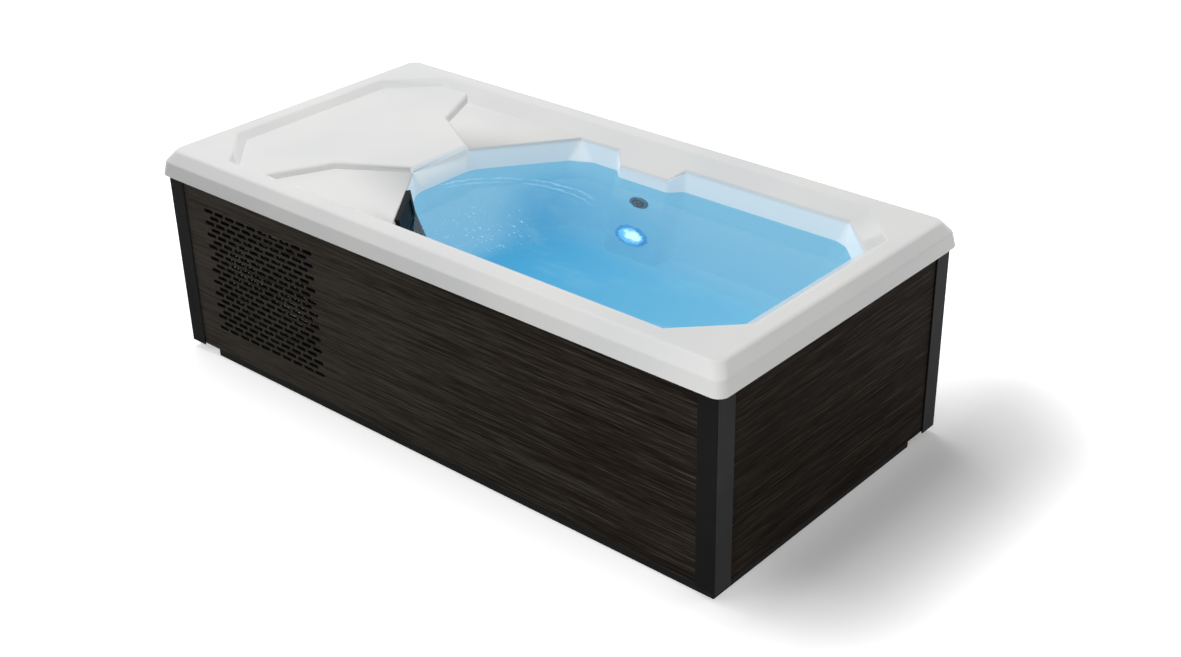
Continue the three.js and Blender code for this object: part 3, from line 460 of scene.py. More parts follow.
def lipWalls(f, x, y, z, inside, look):  # 1 on the walls that show above the water, where bounce and light are painted
    lip, plateau = look["levels"]["lip"], look["levels"]["plateau"]
    headX, headDepth, headHalf = look["headWall"]
    headWall = (abs(x - headX) < headDepth) * (abs(y) < headHalf)
    headWall = headWall * f.span(z, plateau, plateau - look["headFade"])
    pilasterX, flank = look["pilaster"]
    pilasterTop = (abs(x - pilasterX) < y - flank) * f.span(y, *look["pilasterFade"])
    above, under = look["lipFade"]
    walls = f.span(z, lip + above, lip - under) * inside * (1.0 - pilasterTop)
    return x.combine("MAXIMUM", headWall, walls)


def depthAndPaintedLight(f, x, y, z, look):  # 1 where the water looks deepest, lower where painted light lifts the lip's shade
    middle, head = look["deepAlong"]
    along = f.span(x, *middle) * f.span(x, *head)
    front, foot = look["deepAcross"]
    across = f.span(y, *front) * f.span(x, *foot)
    alongShare, acrossShare = look["deepShares"]
    deep = alongShare * along + acrossShare * across
    return deep * f.span(x, *look["paleHead"]) * f.span(z, *look["paleTop"])


def acrylicFinish(look):
    f = Finish("whiteAcrylic")
    cloud = f.noise(f.place(), 2.2, 2.0)
    grain = f.noise(f.place(), 900.0, 2.0)
    x, y, z = f.axis("X"), f.axis("Y"), f.axis("Z")
    tone = f.mix(f.span(cloud, 0.3, 0.7), look["colour"], look["shade"])
    halfLength, halfWidth = look["basin"]
    inside = (abs(x) < halfLength) * (abs(y) < halfWidth)
    # lip: where the painted bounce and the painted light go
    lip = lipWalls(f, x, y, z, inside, look)
    waterLine, fade = look["waterLine"], look["wetFade"]
    wet = f.span(z, waterLine + fade, waterLine - fade) * inside
    deep = depthAndPaintedLight(f, x, y, z, look)
    paintedLightWisps = f.span(f.noise(f.place((2.5, 8, 4)), 1.6, 5.0, 0.6), 0.52, 0.74, 0.0, 0.4)
    dry = f.node("ShaderNodeBsdfPrincipled", {}, {
        "Base Color": f.mix(lip, tone, look["lipPaintedBounce"]),
        "Roughness": 0.16 + 0.08 * cloud,
        "Specular IOR Level": 0.2,
        "Coat Weight": 0.08,
        "Emission Color": f.mix(lip, (0, 0, 0), look["lipPaintedLight"]),
        "Emission Strength": 1.0,
        "Normal": f.bump(grain, 0.02, 0.0004),
    })
    # under the water the walls glow: painted light, with paler painted patches
    below = f.node("ShaderNodeBsdfPrincipled", {}, {
        "Base Color": f.mix(deep, look["paleWater"], look["deepWater"]),
        "Roughness": 0.5 + 0.2 * cloud,
        "Specular IOR Level": 0.0,
        "Emission Color": f.mix(deep * (1.0 - paintedLightWisps), look["palePaintedLight"], look["deepPaintedLight"]),
        "Emission Strength": 1.0,
    })
    both = f.node("ShaderNodeMixShader", {}, {0: wet, 1: dry, 2: below})
    f.node("ShaderNodeOutputMaterial", {}, {"Surface": both})
    return f.material


def skyward(solid):  # faces with nothing of the solid straight above them
    tree = BVHTree.FromBMesh(solid)
    up = Vector((0, 0, 1))
    lift, steps = 0.0002, (0.0005, 0.003)  # how far off the face the rays start
    seen = set()
    for face in solid.faces:
        if face.normal.z > -0.02:
            middle, out = face.calc_center_median(), face.normal
            starts = [middle + out * step + up * lift for step in steps]
            if any(tree.ray_cast(start, up)[0] is None for start in starts):
                seen.add(face)
    return seen


def rimLoop(solid, inset, height, look):  # one ring of points round the rim
    high = cadBox[1]
    radius = look["corner"]
    ring = []
    for corner, (sideX, sideY) in enumerate([(-1, -1), (1, -1), (1, 1), (-1, 1)]):
        x = sideX * (high.x - inset - radius)
        y = sideY * (high.y - inset - radius)
        for step in range(look["cornerSteps"] + 1):
            turn = math.pi + (corner + step / look["cornerSteps"]) * math.pi / 2
            spot = (x + radius * math.cos(turn), y + radius * math.sin(turn), height)
            ring.append(solid.verts.new(spot))
    return ring


def addRim(solid, look):
    top = cadBox[1].z
    hem = top - look["rimDrop"]
    shoulder = top - look["chamferDrop"]
    crest = look["rimDraft"] + look["chamferRun"]
    outer = [(look["wall"], hem), (0, hem), (look["rimDraft"], shoulder)]
    upper = [(crest, top), (crest * 2, top)]
    radii = [look["hemEdge"], look["rimEdge"], look["rimEdge"]]
    profile = roundedPath(outer + upper, radii, look["segments"])
    bridge(solid, [rimLoop(solid, inset, height, look) for inset, height in profile[:-1]])


def shellSkin(look):
    solid = copyOf("tub_shell")
    bmesh.ops.remove_doubles(solid, verts=solid.verts, dist=look["merge"])
    for vert in solid.verts:
        for level in look["levels"].values():
            if abs(vert.co.z - level) < look["merge"]:
                vert.co.z = level
    seen = skyward(solid)
    inset = look["rimDraft"] + look["chamferRun"] - 0.001  # what lies inside the rim's crest
    reach = cadBox[1] - Vector((inset, inset, 0))
    kept = {
        face for face in seen
        if all(abs(v.co.x) < reach.x and abs(v.co.y) < reach.y for v in face.verts)
    }
    bmesh.ops.delete(solid, geom=[f for f in solid.faces if f not in kept], context="FACES")
    return solid


def makeShell(look):
    solid = shellSkin(look)
    top = cadBox[1].z
    edges = []
    for edge in creases(solid, look["crease"]):
        upright = abs(edge.verts[0].co.z - edge.verts[1].co.z) > look["upright"]
        if edge.calc_length() > look["shortest"] and (edge.is_convex or upright):
            edges.append(edge)
        else:
            edge.smooth = False
    print("shell skin:", len(solid.faces), "faces,", len(edges), "creases")
    roundEdges(solid, edges, look["edge"], look["segments"], False)

    def atTop(part):
        return all(abs(v.co.z - top) < 1e-5 for v in part.verts)

    flat = [face for face in solid.faces if atTop(face)]
    bmesh.ops.delete(solid, geom=flat, context="FACES")
    addRim(solid, look)
    border = [edge for edge in solid.edges if edge.is_boundary and atTop(edge)]
    bmesh.ops.triangle_fill(solid, edges=border, use_beauty=True, normal=(0, 0, 1))
    bmesh.ops.recalc_face_normals(solid, faces=solid.faces)
    mesh = meshOf(solid, "shell")
    finish = acrylicFinish(look)
    piece = newPiece(
        "moulded_shell", mesh, "cabinet", finish, ["tub_shell"], sharpFrom=None
    )
    mesh.materials.append(mouldedFinish("shellBack", look["colour"]))
    wall = piece.modifiers.new("wall", "SOLIDIFY")
    wall.thickness = look["wall"]
    wall.offset = -1
    wall.material_offset = 1
    weightNormals(piece)


makeShell(shellLook)
print("shell made")


# Water: fills the basin up to the water line

waterLook = {
    "level": shellLook["waterLine"],
    "overlap": 0.004,  # how far it reaches into the basin's walls
    "cell": 0.02,
    "ripple": 0.0003,
    "wave": 0.03,
    "ringCentre": (-0.05, -0.15),
    "ringRadius": 0.34,
    "ringWidth": 0.06,
    "swell": (31, 1.3, 43, 17),  # along, its start, across, and its slant
    "tint": (0.62, 0.90, 0.98),
    "sheen": (0.0, 0.30, 0.50),
    # the surface glows faintly, with painted glints and painted highlights on the ripple crests
    "paintedHazeGlow": (0.001, 0.009, 0.017),
    "paintedGlint": (0.55, 0.72, 0.80),
    "paintedGlintReach": (0.24, 0.05),
    "paintedGlintLimits": (0.625, 0.685),  # higher limits leave fewer painted glints
    # arc: painted highlights along the ripple crests near the head
    "arc": (0.15, 0.18, 0.19),
    "arcAlong": (0.14, 0.0),
    "arcAcross": (-0.15, 0.0),
}


def waterFinish(look):
    f = Finish("poolWater")
    small = f.noise(f.place((1, 1.6, 1)), 26.0, 3.0)
    fine = f.noise(f.place((1, 1.4, 1)), 70.0, 2.0)
    away = f.distance((*look["ringCentre"], look["level"]))
    spots = f.span(f.noise(f.place((1, 2.2, 1)), 60.0, 4.0, 0.7), *look["paintedGlintLimits"])
    paintedGlints = spots * f.span(away, *look["paintedGlintReach"])
    crest = away.combine("SINE", (away + 0.03 * small) / look["wave"] * math.tau)
    broken = f.span(f.noise(f.place(), 9.0, 3.0), 0.42, 0.62)
    inRing = f.span(abs(away - look["ringRadius"]), look["ringWidth"], 0.0)
    atHead = f.span(f.axis("X"), *look["arcAlong"]) * f.span(f.axis("Y"), *look["arcAcross"])
    # arcs: painted highlights along the ripple crests
    arcs = f.span(crest, 0.3, 1.0) * broken * inRing * atHead
    shine = f.mix(arcs, look["paintedHazeGlow"], look["arc"])
    return f.surface({
        "Base Color": (*look["tint"], 1.0),
        "Roughness": 0.02,
        "IOR": 1.333,
        "Transmission Weight": 1.0,
        "Specular Tint": (*look["sheen"], 1.0),
        "Emission Color": f.mix(paintedGlints, shine, look["paintedGlint"]),
        "Emission Strength": 1.0,
        "Normal": f.bump(small + 0.4 * fine, 0.05, 0.01),
    })


def basinFill(look, shellSizes):  # the basin's skin up to the water line, open at the top
    solid = shellSkin(shellSizes)
    brim = shellSizes["levels"]["lip"] + 0.002
    low = [e for e in solid.edges if e.is_boundary and all(v.co.z < brim for v in e.verts)]
    bmesh.ops.holes_fill(solid, edges=low, sides=0)
    parts = solid.verts[:] + solid.edges[:] + solid.faces[:]
    level = (0, 0, look["level"])
    bmesh.ops.bisect_plane(solid, geom=parts, plane_co=level, plane_no=(0, 0, 1), clear_outer=True)
    bmesh.ops.recalc_face_normals(solid, faces=solid.faces)
    floor = min(solid.faces, key=lambda face: face.calc_center_median().z)
    push = math.copysign(look["overlap"], floor.normal.z)
    for vert in solid.verts:
        vert.co -= vert.normal * push
        if vert.is_boundary:
            vert.co.z = look["level"]
    return solid


def waterTop(solid, look):  # closes the top with a grid of faces
    rim = [e for e in solid.edges if e.is_boundary]
    top = bmesh.ops.contextual_create(solid, geom=rim)["faces"]
    for axis, reach in ((0, cadBox[1].x), (1, cadBox[1].y)):
        for step in range(int(-reach / look["cell"]), int(reach / look["cell"])):
            spot, along = Vector(), Vector()
            spot[axis], along[axis] = step * look["cell"], 1
            edges = {edge for face in top for edge in face.edges}
            verts = {vert for face in top for vert in face.verts}
            parts = [*top, *edges, *verts]
            cut = bmesh.ops.bisect_plane(solid, geom=parts, plane_co=spot, plane_no=along)
            top = [part for part in cut["geom"] if isinstance(part, bmesh.types.BMFace)]
    return set(top)


def rippleAt(spot, look):  # a ring of waves over a slight swell
    away = (spot - Vector(look["ringCentre"])).length
    inRing = math.exp(-(((away - look["ringRadius"]) / look["ringWidth"]) ** 2))
    ring = math.sin(away / look["wave"] * math.tau) * inRing
    along, start, across, slant = look["swell"]
    swell = math.sin(spot.x * along + start) * math.sin(spot.y * across + spot.x * slant)
    return look["ripple"] * (ring + 0.5 * swell)


def makeWater(look, shellSizes):
    solid = basinFill(look, shellSizes)
    top = waterTop(solid, look)
    for vert in solid.verts:
        if vert.link_faces and all(face in top for face in vert.link_faces):
            vert.co.z += rippleAt(vert.co.xy, look)
    bmesh.ops.recalc_face_normals(solid, faces=solid.faces)
    if solid.calc_volume(signed=True) < 0:
        bmesh.ops.reverse_faces(solid, faces=solid.faces)
    piece = newPiece("water", meshOf(solid, "water"), "cabinet", waterFinish(look))
    piece.visible_shadow = False


makeWater(waterLook, shellLook)
print("water made")


# Cabinet: grained panels, posts, base

panelLook = {
    "edge": 0.0015,
    "grain": [  # from the dark streaks to the light ones
        (0.38, (0.006, 0.0042, 0.003)),
        (0.50, (0.020, 0.0153, 0.0117)),
        (0.64, (0.060, 0.052, 0.043)),
    ],
    "broad": (1.3, 1.3, 34.0),  # how fast each layer of grain changes along x, y and z
    "streak": (4.5, 4.5, 180.0),
    "fine": (14.0, 14.0, 420.0),
    "shares": (0.12, 0.58, 0.30),  # of the three layers
    # painted light: the grain is lighter towards the head end and darker on the foot panel
    "paintedLightHead": (1.0, -0.9, -0.02, 0.11),
    "paintedShadeFoot": (1.0, 1.05, 0.0, 0.03),
}

grilleLook = {
    "Slot Length": 0.042,
    "Slot Height": 0.0115,
    "Slot Pitch": 0.05,
    "Row Pitch": 0.02,
    "Columns": 10,
    "Rows": 21,
    "First Slot": -0.895,
    "First Row": 0.121,
}

postLook = {
    "edge": 0.0015,
    "colour": (0.0085, 0.0085, 0.009),
    "paintedLitColour": (0.035, 0.035, 0.036),  # painted light: faces towards the foot are paler, as if lit from that side
}

baseLook = {
    "edge": 0.003,
    "segments": 3,
    "colour": (0.011, 0.011, 0.0115),
}


def woodFinish(look):
    f = Finish("darkWoodgrain")
    broad = f.noise(f.place(look["broad"]), 1.0, 4.0, 0.6)
    streak = f.noise(f.place(look["streak"]), 1.0, 4.0, 0.65)
    fine = f.noise(f.place(look["fine"]), 1.0, 3.0, 0.6)
    x = f.axis("X")
    # painted light and shade along the length
    paintedLightAndShade = f.span(x, *look["paintedLightHead"]) - f.span(x, *look["paintedShadeFoot"])
    broadShare, streakShare, fineShare = look["shares"]
    grain = broadShare * broad + streakShare * streak + fineShare * fine + paintedLightAndShade
    return f.surface({
        "Base Color": f.ramp(grain, look["grain"]),
        "Roughness": f.span(grain, 0.35, 0.65, 0.62, 0.46),
        "Specular IOR Level": 0.02,
        "Normal": f.bump(0.6 * streak + 0.4 * fine, 0.35, 0.0012),
    })


def slotRows(g, columns, rows):  # a grid of points for the slots
    pitch, rowPitch = g.size("Slot Pitch"), g.size("Row Pitch")
    return g.make("MeshGrid", {}, {
        "Size X": (columns - 1) * pitch,
        "Size Y": (rows - 1) * rowPitch * 2,
        "Vertices X": columns,
        "Vertices Y": rows,
    })


def makeGrille(look, finish, slotFinish):
    low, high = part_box("front_panel")
    sizes = {"Length": high.x - low.x, "Height": high.z - low.z, "Wall": high.y - low.y, **look}
    g = Maker("slottedPanel", sizes)
    columns, rows = g.size("Columns"), g.size("Rows")
    slotLength, slotHeight = g.size("Slot Length"), g.size("Slot Height")
    frameSize = {"Width": g.size("Length"), "Height": g.size("Height")}
    outline = g.make("CurvePrimitiveQuadrilateral", {}, frameSize)
    slot = g.make("CurvePrimitiveQuadrilateral", {}, {"Width": slotLength, "Height": slotHeight})
    slot = g.make("FilletCurve", {"mode": "POLY"}, {
        "Curve": slot,
        "Radius": slotHeight * 0.49,  # round ends
        "Limit Radius": True,
        "Count": 4,
    })
    full = slotRows(g, columns, (rows + 1) / 2)
    between = slotRows(g, columns - 1, (rows - 1) / 2)
    points = g.make("JoinGeometry", {}, {0: [full, between]})
    slots = g.make("InstanceOnPoints", {}, {"Points": points, "Instance": slot})
    middleX = (low.x + high.x) / 2
    middleZ = (low.z + high.z) / 2
    reach = (columns - 1) * g.size("Slot Pitch") + slotLength
    rise = (rows - 1) * g.size("Row Pitch")
    slots = g.make("Transform", {}, {"Geometry": slots, "Translation": g.spot(
        g.size("First Slot") + reach / 2 - middleX,
        g.size("First Row") + rise / 2 - middleZ,
    )})
    slots = g.make("RealizeInstances", {}, {0: slots})
    sheet = g.make("FillCurve", {}, {"Curve": g.make("JoinGeometry", {}, {0: [outline, slots]})})
    depth = g.spot(z=g.size("Wall"))
    raised = g.make("ExtrudeMesh", {}, {"Mesh": sheet, "Offset": depth, "Individual": False})
    under = g.make("FlipFaces", {}, {"Mesh": sheet})
    slab = g.make("JoinGeometry", {}, {0: [raised, under]})
    slab = g.make("MergeByDistance", {}, {"Geometry": slab, "Distance": 0.00001})
    slab = g.make("Transform", {}, {
        "Geometry": slab,
        "Translation": (middleX, high.y, middleZ),
        "Rotation": (math.pi / 2, 0, 0),
    })
    mesh = g.mesh(slab, finish)
    newPiece("slotted_front_panel", mesh, "cabinet", finish, ["front_panel"])

    def inSlot(face):  # a wall that isn't at the panel's own edge
        x, z = face.center.x, face.center.z
        fromEdge = min(x - low.x, high.x - x, z - low.z, high.z - z)
        return abs(face.normal.y) < 0.5 and fromEdge > 0.01

    repaint(mesh, slotFinish, inSlot)
    print("grille:", len(mesh.polygons), "faces")


def makePosts(look):
    charcoal = coatFinish("charcoalCoat", look["colour"])
    paintedLitCharcoal = coatFinish("paleCharcoalCoat", look["paintedLitColour"])
    for side in ("front", "back"):
        for end in ("head", "foot"):
            node = f"corner_post_{side}_{end}"
            post = softened(f"post_{side}_{end}", node, charcoal, look["edge"])
            # painted light on the faces towards the foot
            repaint(post.data, paintedLitCharcoal, lambda face: face.normal.x > 0.7)


wood = woodFinish(panelLook)
blackPlastic = mouldedFinish("blackMoulding", baseLook["colour"])
makeGrille(grilleLook, wood, blackPlastic)
for side in ("back", "head", "foot"):
    softened(f"{side}_side_panel", f"{side}_panel", wood, panelLook["edge"])
makePosts(postLook)
softened("foot_pan", "base_pan", blackPlastic, baseLook["edge"], baseLook["segments"])
print("cabinet made")


# Fittings in the basin: filter cover, jet, lamp

fittingLook = {  # shared by the round ones
    "tilt": math.atan(0.14),  # lean of the pilaster's face
    "sides": 64,
    "steps": 3,  # of each rounded edge
}

coverLook = {
    "edge": 0.0022,
    "segments": 3,
    "flapEdge": 0.0012,
}

jetLook = {
    "place": (0.101, 0.33682, 0.453),
    "ring": [  # radius and height of each corner
        (0.0185, 0.0035), (0.0185, 0.0003), (0.035, 0.0003), (0.035, 0.0035), (0.0315, 0.007),
        (0.0235, 0.007), (0.0205, 0.005), (0.0185, 0.005), (0.0185, 0.0035),
    ],
    "ringEdges": [0.0003, 0.0004, 0.0012, 0.0012, 0.001, 0.0008, 0.0004],
    "nozzle": [
        (0.008, 0.0), (0.008, -0.007), (0.018, -0.007), (0.018, 0.0068), (0.0135, 0.0105),
        (0.008, 0.0105), (0.008, 0.0),
    ],
    "nozzleEdges": [0.0004, 0.0006, 0.0014, 0.0012, 0.0014],
    "notches": 2,  # for the fingers, in the nozzle's face
    "notchReach": (0.0082, 0.0172),
    "notchFrom": 0.004,  # lower points stay as they are
    "notchDepth": 0.0045,
    "bandReach": 0.04,
    "bands": [  # from the middle out, as shares of the reach; dark at the bore and in the gap round the nozzle, lighter teal on the raised faces: painted shade and light
        (0.26, (0.003, 0.006, 0.008)),
        (0.32, (0.04, 0.17, 0.24)),
        (0.40, (0.03, 0.13, 0.19)),
        (0.47, (0.004, 0.012, 0.018)),
        (0.58, (0.006, 0.03, 0.045)),
        (0.66, (0.05, 0.20, 0.28)),
        (0.80, (0.03, 0.14, 0.20)),
    ],
}

lampLook = {
    "place": (0.096, 0.30574, 0.231),
    "ring": [
        (0.0475, 0.004), (0.0475, 0.0003), (0.062, 0.0003), (0.062, 0.004), (0.058, 0.009),
        (0.051, 0.009), (0.0475, 0.0065), (0.0475, 0.004),
    ],
    "ringEdges": [0.0003, 0.0004, 0.0016, 0.0016, 0.001, 0.0004],
    "ringBlue": ((0.002, 0.09, 0.18), (0.01, 0.18, 0.32)),
    # painted light: the trim glows blue
    "ringPaintedGlow": ((0.0, 0.13, 0.33), (0.0, 0.19, 0.42)),
    "lens": ((0.12, 0.36, 0.58), (0.60, 0.80, 0.92)),
    "lensGlow": ((0.10, 0.32, 0.55), (0.62, 0.80, 0.90)),
    "lensSpot": (0.008, 0, 0.008),  # the brightest place, from the lens's middle
    "lensReach": (0.046, 0.014),
}


# A round fitting on the pilaster's face, its axis into the basin
def fittingMesh(name, place, corners, edges, wave=None):
    turn = Matrix.Rotation(math.pi / 2 - fittingLook["tilt"], 4, "X")
    profile = roundedPath(corners, edges, fittingLook["steps"])
    return turned(name, profile[:-1], Matrix.Translation(place) @ turn, fittingLook["sides"], wave)


def notched(look):
    inner, outer = look["notchReach"]

    def wave(radius, height, angle):
        notch = max(0.0, math.cos(angle * look["notches"])) ** 4
        onFace = 1.0 if inner < radius < outer and height > look["notchFrom"] else 0.0
        return radius, height - look["notchDepth"] * notch * onFace

    return wave


def jetFinish(look):
    f = Finish("tealMoulding")
    grain = f.noise(f.place(), 500.0, 2.0)
    return f.surface({
        # painted light and shade that follow the relief of trim and nozzle
        "Base Color": f.ramp(f.distance(look["place"]) / look["bandReach"], look["bands"]),
        "Roughness": 0.35 + 0.1 * grain,
        "Specular IOR Level": 0.05,
        "Normal": f.bump(grain, 0.1, 0.0004),
    })


def makeJet(look):
    place = look["place"]
    finish = jetFinish(look)
    ring = fittingMesh("jetRing", place, look["ring"], look["ringEdges"])
    newPiece("jet_trim", ring, "cabinet", finish, ["jet_ring"], sharpFrom=35)
    nozzle = fittingMesh("nozzle", place, look["nozzle"], look["nozzleEdges"], notched(look))
    newPiece("jet_eye", nozzle, "nozzle", finish, ["jet_nozzle"], sharpFrom=35)


def lampRingFinish(look):
    f = Finish("blueLampRing")
    mottle = f.noise(f.place(), 60.0, 3.0)
    return f.surface({
        "Base Color": f.mix(f.span(mottle, 0.3, 0.7), *look["ringBlue"]),
        "Roughness": 0.2 + 0.15 * mottle,
        "Coat Weight": 0.5,
        # painted light on the trim
        "Emission Color": f.mix(f.span(mottle, 0.25, 0.75), *look["ringPaintedGlow"]),
        "Emission Strength": 1.0,
    })


def lensFinish(look):
    f = Finish("lampLens")
    place = f.place(centre=look["place"])
    away = f.distance(Vector(look["place"]) + Vector(look["lensSpot"]))
    mottle = f.noise(place, 42.0, 4.0, 0.65)
    bright = f.span(mottle + f.span(away, *look["lensReach"], -0.08, 0.30), 0.44, 0.74)
    return f.surface({
        "Base Color": f.mix(bright, *look["lens"]),
        "Roughness": 0.12 + 0.1 * mottle,
        "Coat Weight": 0.6,
        "Emission Color": f.mix(bright, *look["lensGlow"]),
        "Emission Strength": 1.0,
        "Normal": f.bump(f.cells(place, 170.0), 0.3, 0.001),
    })


def makeLamp(look):
    ring = fittingMesh("lampRing", look["place"], look["ring"], look["ringEdges"])
    finish = lampRingFinish(look)
    newPiece("lamp_trim", ring, "cabinet", finish, ["lamp_ring"], sharpFrom=35)


makeJet(jetLook)
makeLamp(lampLook)
softened("filter_plate", "filter_cover", blackPlastic, coverLook["edge"], coverLook["segments"])
softened("weir", "weir_flap", blackPlastic, coverLook["flapEdge"])
print("fittings made")


# Fan guard: wire rings in the mouth of the shroud

guardLook = {
    "centre": (-0.649, -0.4985, 0.321),
    "colours": ((0.42, 0.43, 0.44), (0.62, 0.63, 0.64)),
    "sizes": {
        "Inner Radius": 0.03,
        "Ring Step": 0.0157,
        "Rings": 10,
        "Wire Radius": 0.0018,
        "Spokes": 6,
    },
}


def makeGuard(look, finish):
    g = Maker("wireGuard", look["sizes"])
    step, inner, rings = g.size("Ring Step"), g.size("Inner Radius"), g.size("Rings")
    wire, spokeCount = g.size("Wire Radius"), g.size("Spokes")
    index = g.make("InputIndex")
    hoop = inner + index * step
    circle = g.make("CurvePrimitiveCircle", {}, {"Resolution": 64, "Radius": 1.0})
    hoops = g.make("InstanceOnPoints", {}, {
        "Points": g.make("Points", {}, {"Count": rings}),
        "Instance": circle,
        "Scale": g.spot(hoop, hoop, 1.0),
    })
    outer = inner + (rings - 1) * step
    spoke = g.make("CurvePrimitiveLine", {}, {"Start": g.spot(inner * 0.6), "End": g.spot(outer)})
    spokes = g.make("InstanceOnPoints", {}, {
        "Points": g.make("Points", {}, {"Count": spokeCount}),
        "Instance": spoke,
        "Rotation": g.spot(z=index / spokeCount * math.tau),
    })
    lift = g.spot(z=wire * 1.2)  # the spokes lie on the rings
    spokes = g.make("Transform", {}, {"Geometry": spokes, "Translation": lift})
    wires = g.make("RealizeInstances", {}, {0: g.make("JoinGeometry", {}, {0: [hoops, spokes]})})
    section = g.make("CurvePrimitiveCircle", {}, {"Resolution": 8, "Radius": wire})
    tube = g.make("CurveToMesh", {}, {"Curve": wires, "Profile Curve": section, "Fill Caps": True})
    tube = g.make("Transform", {}, {
        "Geometry": tube,
        "Translation": look["centre"],
        "Rotation": (math.pi / 2, 0, 0),
    })
    newPiece("fan_guard", g.mesh(tube, finish), "cabinet", finish, sharpFrom=40)


def steelFinish(look):
    f = Finish("brushedSteel")
    brush = f.noise(f.place((30, 30, 600)), 1.0, 3.0)
    return f.surface({
        "Base Color": f.mix(brush, *look["colours"]),
        "Metallic": 1.0,
        "Roughness": f.span(brush, 0.3, 0.7, 0.28, 0.42),
        "Normal": f.bump(brush, 0.08, 0.0003),
    })


steel = steelFinish(guardLook)
makeGuard(guardLook, steel)
print("guard made")


# Finishes of what stays as it was drawn

insideLook = {  # most have two colours that mix
    "strip": ((0.03, 0.03, 0.032), (0.05, 0.05, 0.052)),
    "timber": ((0.52, 0.36, 0.20), (0.34, 0.21, 0.11)),
    "board": ((0.62, 0.60, 0.48), (0.70, 0.69, 0.58)),
    "foam": ((0.70, 0.66, 0.50), (0.60, 0.55, 0.38)),
    "fins": ((0.60, 0.61, 0.62), (0.45, 0.26, 0.15)),  # and the tubes through them
    # painted shade in the gaps between the fins
    "finGapShade": (0.10, 0.10, 0.10),
    "copper": ((0.72, 0.36, 0.20), (0.36, 0.19, 0.12)),
    "hose": ((0.035, 0.035, 0.037), (0.06, 0.06, 0.062)),
    "filter": ((0.74, 0.76, 0.78), (0.60, 0.65, 0.70)),
    "greyPlastic": (0.42, 0.43, 0.44),
    "handle": (0.45, 0.022, 0.018),
    "enamel": (0.014, 0.014, 0.015),
}


def timberFinish(look):
    f = Finish("pineTimber")
    grain = f.noise(f.place((6, 6, 6)), 1.0, 2.0)
    bent = {"Distortion": 6.0, "Detail": 3.0}
    rings = f.waves(f.place((7, 7, 7)), 1.3, {"wave_type": "RINGS"}, bent)
    return f.surface({
        "Base Color": f.mix(0.6 * rings + 0.4 * grain, *look["timber"]),
        "Roughness": 0.6 + 0.15 * grain,
        "Normal": f.bump(rings, 0.15, 0.0008),
    })


def foamFinish(name, colours, scale):
    f = Finish(name)
    cells = f.cells(f.place(), scale)
    cloud = f.noise(f.place(), 9.0, 3.0)
    return f.surface({
        "Base Color": f.mix(f.span(0.5 * cells + 0.5 * cloud, 0.2, 0.7), *colours),
        "Roughness": 0.8 + 0.1 * cloud,
        "Normal": f.bump(cells, 0.35, 0.0012),
    })


def finsFinish(look):
    f = Finish("condenserFins")
    bent = {"Distortion": 0.3, "Detail": 1.0}
    fins = f.waves(f.place(), 75.0, {"bands_direction": "X"}, bent)
    rows = f.waves(f.place(), 6.5, {"bands_direction": "Z"})
    metal = f.mix(f.span(rows, 0.85, 0.98, 0.0, 0.4), *look["fins"])
    return f.surface({
        # dark lines between the fins are painted shade
        "Base Color": f.mix(fins, look["finGapShade"], metal),
        "Metallic": 0.9,
        "Roughness": f.span(fins, 0.2, 0.8, 0.6, 0.35),
        "Normal": f.bump(fins, 0.5, 0.0015),
    })


def copperFinish(look):
    f = Finish("copperTube")
    tarnish = f.noise(f.place(), 14.0, 4.0, 0.6)
    return f.surface({
        "Base Color": f.mix(f.span(tarnish, 0.4, 0.7), *look["copper"]),
        "Metallic": 1.0,
        "Roughness": f.span(tarnish, 0.3, 0.7, 0.24, 0.45),
    })


def hoseFinish(look):
    f = Finish("ribbedHose")
    place = f.place()
    ribs = f.waves(place, 34.0, {"bands_direction": "DIAGONAL"})
    dust = f.noise(place, 16.0, 3.0)
    return f.surface({
        "Base Color": f.mix(dust, *look["hose"]),
        "Roughness": 0.5 + 0.15 * dust,
        "Normal": f.bump(ribs, 0.5, 0.002),
    })


def filterFinish(look):
    f = Finish("filterCloth")
    weave = f.noise(f.place((1, 1, 0.4)), 900.0, 2.0)
    stain = f.noise(f.place(), 18.0, 3.0)
    return f.surface({
        "Base Color": f.mix(f.span(stain, 0.35, 0.7), *look["filter"]),
        "Roughness": 0.85 + 0.1 * weave,
        "Normal": f.bump(weave, 0.4, 0.0008),
    })


finishes = {
    "black_plastic": blackPlastic,
    "strip": foamFinish("softStrip", insideLook["strip"], 420.0),
    "timber": timberFinish(insideLook),
    "board": foamFinish("insulationBoard", insideLook["board"], 260.0),
    "foam": foamFinish("floorFoam", insideLook["foam"], 120.0),
    "grey_plastic": mouldedFinish("greyMoulding", insideLook["greyPlastic"], 0.42),
    "filter": filterFinish(insideLook),
    "lens": lensFinish(lampLook),
    "hose": hoseFinish(insideLook),
    "lever": mouldedFinish("redHandle", insideLook["handle"], 0.35),
    "steel": steel,
    "enamel": coatFinish("blackEnamel", insideLook["enamel"], 0.22),
    "fins": finsFinish(insideLook),
    "copper": copperFinish(insideLook),
}


def dressNodes():
    dressed = 0
    for name, node in nodes.items():
        finish = finishes.get(slotOf[name])
        if finish and not node.hide_render:
            for slot in node.material_slots:
                slot.material = finish
            dressed += 1
    print("drawn parts dressed:", dressed)


dressNodes()


# Stage: pale floor and soft light

stageLook = {
    "floor": 9.0,
    "floorColour": (0.84, 0.84, 0.84),
    "floorBounce": (0.12, 0.12, 0.12),  # its colour as a source of light
    "floorGlow": (0.50, 0.10, 0.88),  # near the tub, in its painted shadow behind the foot end, far away
    # where the painted shadow lies
    "shadowAlong": (0.8, 1.15),
    "shadowAcross": (-0.75, -0.2),
    "glowFade": (0.2, 0.8),  # distance from the tub
    "worldLight": 0.29,
}

